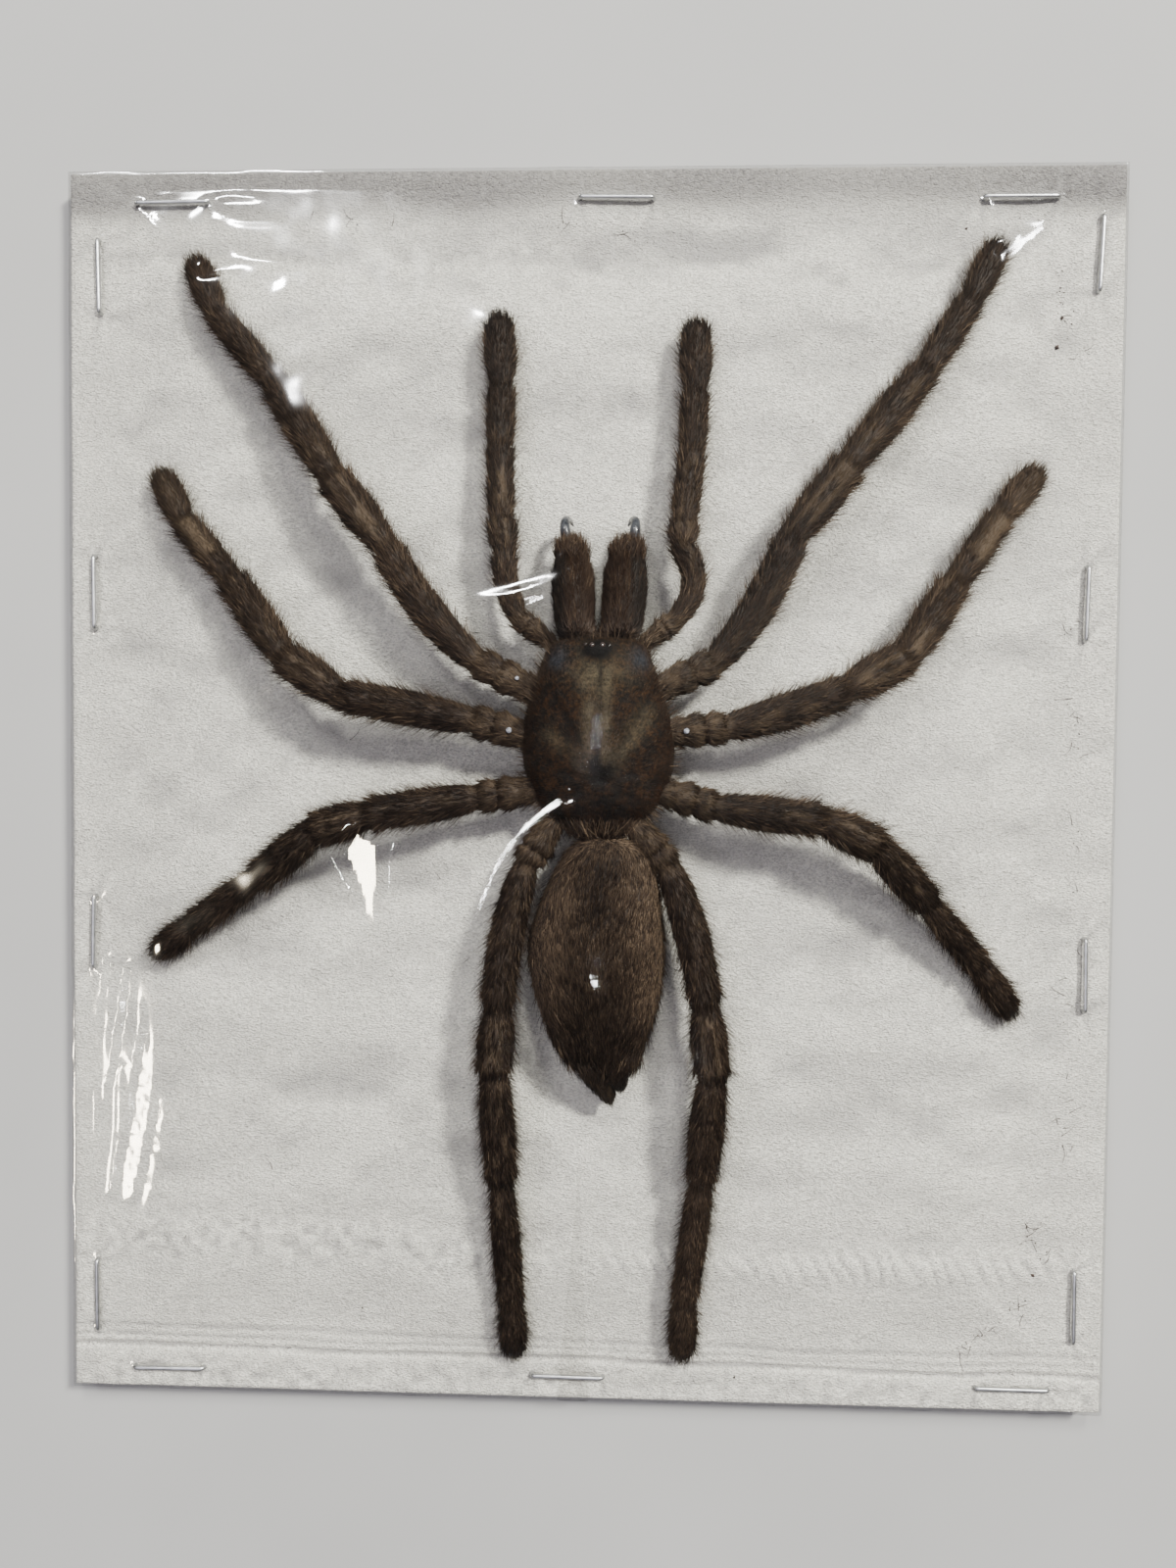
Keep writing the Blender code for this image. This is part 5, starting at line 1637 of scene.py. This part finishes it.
def film_piece():
    """The clear film, creased where the staples and the legs pull it."""
    half_x, half_y = WIDTH / 2 - FILM_INSET, HEIGHT / 2 - FILM_INSET
    xs, ys = grid_lines(half_x, *FILM_GRID), grid_lines(half_y, *FILM_GRID)
    left, right, count = PLEAT_LINES
    others = xs[(xs < left - PLEAT_CLEAR) | (xs > right + PLEAT_CLEAR)]
    xs = np.sort(np.append(others, np.linspace(left, right, count)))
    shape = Shape()
    heights = film_top(xs[:, None], ys[None, :])
    depth = pleat_depth(xs[:, None], ys[None, :])
    fold_shade_and_grey = 0.5 * depth + 2.4 * depth * (1 - depth)  # most along the pleat's two folds, as painted shade
    ring, edge = sheet_grid(shape, xs, ys, heights, pleat=fold_shade_and_grey)
    skirt(shape, ring, edge, half_x, half_y, FILM_SIDES)
    piece = wear(shape.build("film_creased", film_finish()), "film", "film_cover")
    return piece


# Crumbs and loose hairs under the film: where a trail starts and ends, how far it spreads,
# how many crumbs and how many hairs
TRAILS = [
    ((55.2, 61.8), (58.3, 51.5), 1.2, 26, 4),
    ((56.5, 68.0), (50.5, 66.5), 1.5, 12, 0),
    ((57.4, 25.0), (58.6, -10.0), 1.4, 20, 10),
    ((58.6, -10.0), (58.8, -45.0), 1.6, 16, 14),
    ((54.0, -51.0), (56.5, -57.0), 1.2, 10, 8),
    ((54.3, -60.5), (45.0, -68.5), 1.0, 30, 12),
    ((-41.5, 70.3), (-23.7, 68.0), 1.2, 6, 5),
    ((-4.0, 68.8), (8.0, 67.0), 1.0, 8, 4),
    ((-40.0, -50.0), (40.0, 50.0), 40.0, 10, 6),
]
CRUMB_AREA = (-59.5, -73.0), (61.5, 73.0)  # no crumb or hair lies outside these corners
LONE_CRUMBS = [  # (across, along, radius)
    (54.8, -57.8, 0.32), (44.6, 67.4, 0.22), (55.9, 56.8, 0.26), (55.4, 53.4, 0.34),
    (-27.0, -64.0, 0.16), (19.0, -71.5, 0.18),
]


def crumb(shape, x, y, radius, draw):
    """An irregular crumb with eight faces, lying on the tissue."""
    corners = np.array([(1, 0, 0), (-1, 0, 0), (0, 1, 0), (0, -1, 0), (0, 0, 1), (0, 0, -1)])
    faces = np.array([(0, 2, 4), (2, 1, 4), (1, 3, 4), (3, 0, 4),
                      (2, 0, 5), (1, 2, 5), (3, 1, 5), (0, 3, 5)])
    jitter = draw.uniform(0.6, 1.3, (6, 1)) * corners * radius * np.array([1, 0.8, 0.6])
    turn = draw.uniform(0, 2 * math.pi)
    cos, sin = math.cos(turn), math.sin(turn)
    turned = np.stack([jitter[:, 0] * cos - jitter[:, 1] * sin,
                       jitter[:, 0] * sin + jitter[:, 1] * cos, jitter[:, 2]], axis=-1)
    place = np.array([x, y, float(tissue_top(x, y)) + radius * 0.35])
    shape.add(turned + place, faces)


def loose_hair(shape, x, y, draw):
    """A short curved hair lying on the tissue."""
    length, turn, bend = draw.uniform(0.7, 2.4), draw.uniform(0, 6.28), draw.normal(0, 0.9)
    t = np.linspace(0, 1, 6)
    angle = turn + bend * t
    step = length / (len(t) - 1)
    xs = x + np.concatenate([[0], np.cumsum(step * np.cos(angle[1:]))])
    ys = y + np.concatenate([[0], np.cumsum(step * np.sin(angle[1:]))])
    centres = np.stack([xs, ys, tissue_top(xs, ys) + 0.07], axis=-1)
    around = np.radians([90, 210, 330])
    side = np.stack([-np.sin(angle), np.cos(angle), 0 * angle], axis=-1)
    radius = 0.045 * (1 - 0.8 * t)[:, None, None]
    rings = centres[:, None] + radius * (side[:, None] * np.cos(around)[:, None]
                                         + np.array([0, 0, 1]) * np.sin(around)[:, None])
    Skin(rings, t).add_to(shape)


def crumbs_piece():
    """Dark crumbs and shed hairs, mostly down the right edge."""
    draw = np.random.default_rng(SEEDS["crumbs"])
    shape = Shape()
    for start, end, spread, crumbs, hairs in TRAILS:
        for number in range(crumbs + hairs):
            t = draw.random()
            x = start[0] + t * (end[0] - start[0]) + draw.normal(0, spread / 2)
            y = start[1] + t * (end[1] - start[1]) + draw.normal(0, spread / 2)
            x, y = np.clip((x, y), *CRUMB_AREA)
            if number < crumbs:
                crumb(shape, x, y, draw.uniform(0.05, 0.13), draw)
            else:
                loose_hair(shape, x, y, draw)
    for x, y, radius in LONE_CRUMBS:
        crumb(shape, x, y, radius, draw)
    return wear(shape.build("shed_crumbs", crumb_finish()), "fur")


# ---------------- stage


LENS, SENSOR, NEAREST = 27.0, 36.0, 0.005  # mm, mm, and from how many metres it sees
CAMERA_TURN = (1.776, -2.117, -0.577)  # degrees about x, y and z
CAMERA_OFFSET = (-0.41, -1.18, -142.68)  # the face's middle as the camera sees it, mm
FACE_LEVEL = 4.2
FLOOR_SIZE = 4
SKY_COLOUR, SKY_STRENGTH = (0.93, 0.95, 1.0, 1), 0.04
LIGHTS = {  # place and sides in metres, watts, colour
    "key_light": ((0.64, 0.62, 0.93), (0.13, 0.13), 37.0, (1.0, 0.985, 0.91)),
    "second_light": ((0.14, 0.95, 0.95), (0.14, 0.14), 10.0, (1.0, 0.99, 0.92)),
    "third_light": ((-0.4, 0.75, 0.9), (0.14, 0.14), 5.0, (1.0, 0.99, 0.98)),
    "fill_light": ((-0.3, -0.1, 1.2), (1.4, 1.4), 12.0, (0.93, 0.89, 1.0)),
}
GLINTS = {  # lamps that the film alone mirrors: also the place each one aims at, mm, and its beam
    "glint_above": ((-0.28, 0.66, 0.44), (0.11, 0.08), 7.5, (1.0, 1.0, 1.0), (0, 0), 180.0),
    "glint_right": ((0.49, 0.68, 0.27), (0.06, 0.06), 1.5, (1.0, 1.0, 1.0), (0, 0), 180.0),
    "glint_arc": ((-0.01, -0.21, 0.61), (0.07, 0.07), 0.0045, (1.0, 1.0, 1.0), (-8, -14), 6.0),
    "glint_warm": ((-0.52, -0.21, 0.31), (0.095, 0.095), 3.6, (1.0, 0.88, 0.68), (0, 0), 180.0),
}


def add_camera():
    """The camera, where the photograph was taken from."""
    data = bpy.data.cameras.new("camera")
    data.lens, data.sensor_width, data.sensor_fit = LENS, SENSOR, "AUTO"
    data.clip_start = NEAREST
    camera = bpy.data.objects.new("camera", data)
    bpy.context.collection.objects.link(camera)
    turn = [math.radians(degrees) for degrees in CAMERA_TURN]
    seen = (Matrix.Rotation(turn[2], 3, "Z") @ Matrix.Rotation(turn[1], 3, "Y")
            @ Matrix.Rotation(turn[0], 3, "X"))
    eye = -(seen.transposed() @ Vector(CAMERA_OFFSET)) + Vector((0, 0, FACE_LEVEL))
    placed = seen.transposed().to_4x4()
    placed.translation = eye * MM
    camera.matrix_world = placed
    bpy.context.scene.camera = camera


def add_light(name, place, sides, watts, colour, aim=(0, 0), beam=180.0, film_only=False):
    """An area light aimed at the card. The film mirrors only the small lights made for it."""
    data = bpy.data.lights.new(name, "AREA")
    data.shape, (data.size, data.size_y) = "RECTANGLE", sides
    data.energy, data.color, data.spread = watts, colour, math.radians(beam)
    light = bpy.data.objects.new(name, data)
    light.location = place
    towards = Vector((aim[0] * MM, aim[1] * MM, 0)) - Vector(place)
    light.rotation_euler = towards.to_track_quat("-Z", "Y").to_euler()
    bpy.context.collection.objects.link(light)
    lit = bpy.data.collections.new(name + "_receivers")
    lit.objects.link(bpy.data.objects["film_creased"])
    lit.collection_objects[0].light_linking.link_state = "INCLUDE" if film_only else "EXCLUDE"
    light.light_linking.receiver_collection = lit


class SPECIMEN_OT_stage(bpy.types.Operator):
    """Lays a pale floor and sets up the lights, the sky and the camera"""

    bl_idname = "specimen.lay_stage"
    bl_label = "Stage"

    def execute(self, context):
        bpy.ops.mesh.primitive_plane_add(size=FLOOR_SIZE)
        floor = context.object
        floor.name = "pale_floor"
        floor.data.materials.append(floor_finish())
        sky = bpy.data.worlds.new("soft_sky")
        sky.use_nodes = True
        background = sky.node_tree.nodes["Background"]
        background.inputs["Color"].default_value = SKY_COLOUR
        background.inputs["Strength"].default_value = SKY_STRENGTH
        context.scene.world = sky
        for name, settings in LIGHTS.items():
            add_light(name, *settings)
        for name, settings in GLINTS.items():
            add_light(name, *settings, film_only=True)
        add_camera()
        return {"FINISHED"}


class SPECIMEN_OT_card(bpy.types.Operator):
    """Gives the backing board its pulp finish"""

    bl_idname = "specimen.finish_card"
    bl_label = "Card"

    def execute(self, context):
        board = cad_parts["backing_board"]
        board.data.materials.clear()
        board.data.materials.append(card_finish())
        return {"FINISHED"}


class SPECIMEN_OT_tissue(bpy.types.Operator):
    """Folds the crepe tissue round the card"""

    bl_idname = "specimen.fold_tissue"
    bl_label = "Tissue"

    def execute(self, context):
        tissue_piece()
        return {"FINISHED"}


class SPECIMEN_OT_staples(bpy.types.Operator):
    """Bends the fourteen wire staples"""

    bl_idname = "specimen.bend_staples"
    bl_label = "Staples"

    def execute(self, context):
        for name in STAPLES:
            staple_piece(name)
        return {"FINISHED"}


class SPECIMEN_OT_body(bpy.types.Operator):
    """Builds the carapace, the abdomen and the spinnerets"""

    bl_idname = "specimen.build_body"
    bl_label = "Body"

    def execute(self, context):
        cephalothorax_piece()
        abdomen_piece()
        for number, name in enumerate(LOBES):
            spinneret_piece(name, SEEDS["spinnerets"] + number)
        return {"FINISHED"}


class SPECIMEN_OT_jaws(bpy.types.Operator):
    """Builds the two jaws and their fangs"""

    bl_idname = "specimen.build_jaws"
    bl_label = "Jaws"

    def execute(self, context):
        for number, name in enumerate(CHELICERAE):
            jaw_piece(name, SEEDS["jaws"] + number)
        for name in FANGS:
            fang_piece(name)
        return {"FINISHED"}


class SPECIMEN_OT_legs(bpy.types.Operator):
    """Builds the eight furred legs"""

    bl_idname = "specimen.build_legs"
    bl_label = "Legs"

    def execute(self, context):
        for number, (name, (joints, bow)) in enumerate(LEGS.items()):
            limb_piece(name, joints, bow, LEG_GIRTH, LEG_HAIRS, LEG_BRISTLES,
                       SEEDS["legs"] + number)
        return {"FINISHED"}


class SPECIMEN_OT_palps(bpy.types.Operator):
    """Builds the two furred palps"""

    bl_idname = "specimen.build_palps"
    bl_label = "Palps"

    def execute(self, context):
        for number, (name, (joints, bow)) in enumerate(PALPS.items()):
            limb_piece(name, joints, bow, PALP_GIRTH, PALP_HAIRS, PALP_BRISTLES,
                       SEEDS["palps"] + number)
        return {"FINISHED"}


class SPECIMEN_OT_crumbs(bpy.types.Operator):
    """Scatters crumbs and shed hairs on the tissue"""

    bl_idname = "specimen.scatter_crumbs"
    bl_label = "Crumbs"

    def execute(self, context):
        crumbs_piece()
        return {"FINISHED"}


class SPECIMEN_OT_film(bpy.types.Operator):
    """Stretches the clear film over the specimen"""

    bl_idname = "specimen.stretch_film"
    bl_label = "Film"

    def execute(self, context):
        film_piece()
        return {"FINISHED"}


STEPS = [SPECIMEN_OT_card, SPECIMEN_OT_tissue, SPECIMEN_OT_staples, SPECIMEN_OT_body,
         SPECIMEN_OT_jaws, SPECIMEN_OT_legs, SPECIMEN_OT_palps, SPECIMEN_OT_crumbs,
         SPECIMEN_OT_film, SPECIMEN_OT_stage]


class SPECIMEN_PT_panel(bpy.types.Panel):
    """Sizes, colours and one button for each piece"""

    bl_idname = "SPECIMEN_PT_panel"
    bl_label = "Specimen"
    bl_space_type = "VIEW_3D"
    bl_region_type = "UI"
    bl_category = "Specimen"

    def draw(self, context):
        column = self.layout.column()
        for group in (context.scene.specimen_sizes, context.scene.specimen_colours):
            for name in group.bl_rna.properties.keys():
                if name not in ("rna_type", "name"):
                    column.prop(group, name)
        for step in STEPS:
            column.operator(step.bl_idname)


CLASSES = [SpecimenSizes, SpecimenColours, *STEPS, SPECIMEN_PT_panel]


def register():
    for kind in CLASSES:
        bpy.utils.register_class(kind)
    bpy.types.Scene.specimen_sizes = PointerProperty(type=SpecimenSizes)
    bpy.types.Scene.specimen_colours = PointerProperty(type=SpecimenColours)


def unregister():
    del bpy.types.Scene.specimen_colours
    del bpy.types.Scene.specimen_sizes
    for kind in reversed(CLASSES):
        bpy.utils.unregister_class(kind)


def main():
    """Builds every piece in order."""
    register()
    for step in STEPS:
        group, name = step.bl_idname.split(".")
        getattr(getattr(bpy.ops, group), name)()


if __name__ == "__main__":
    main()
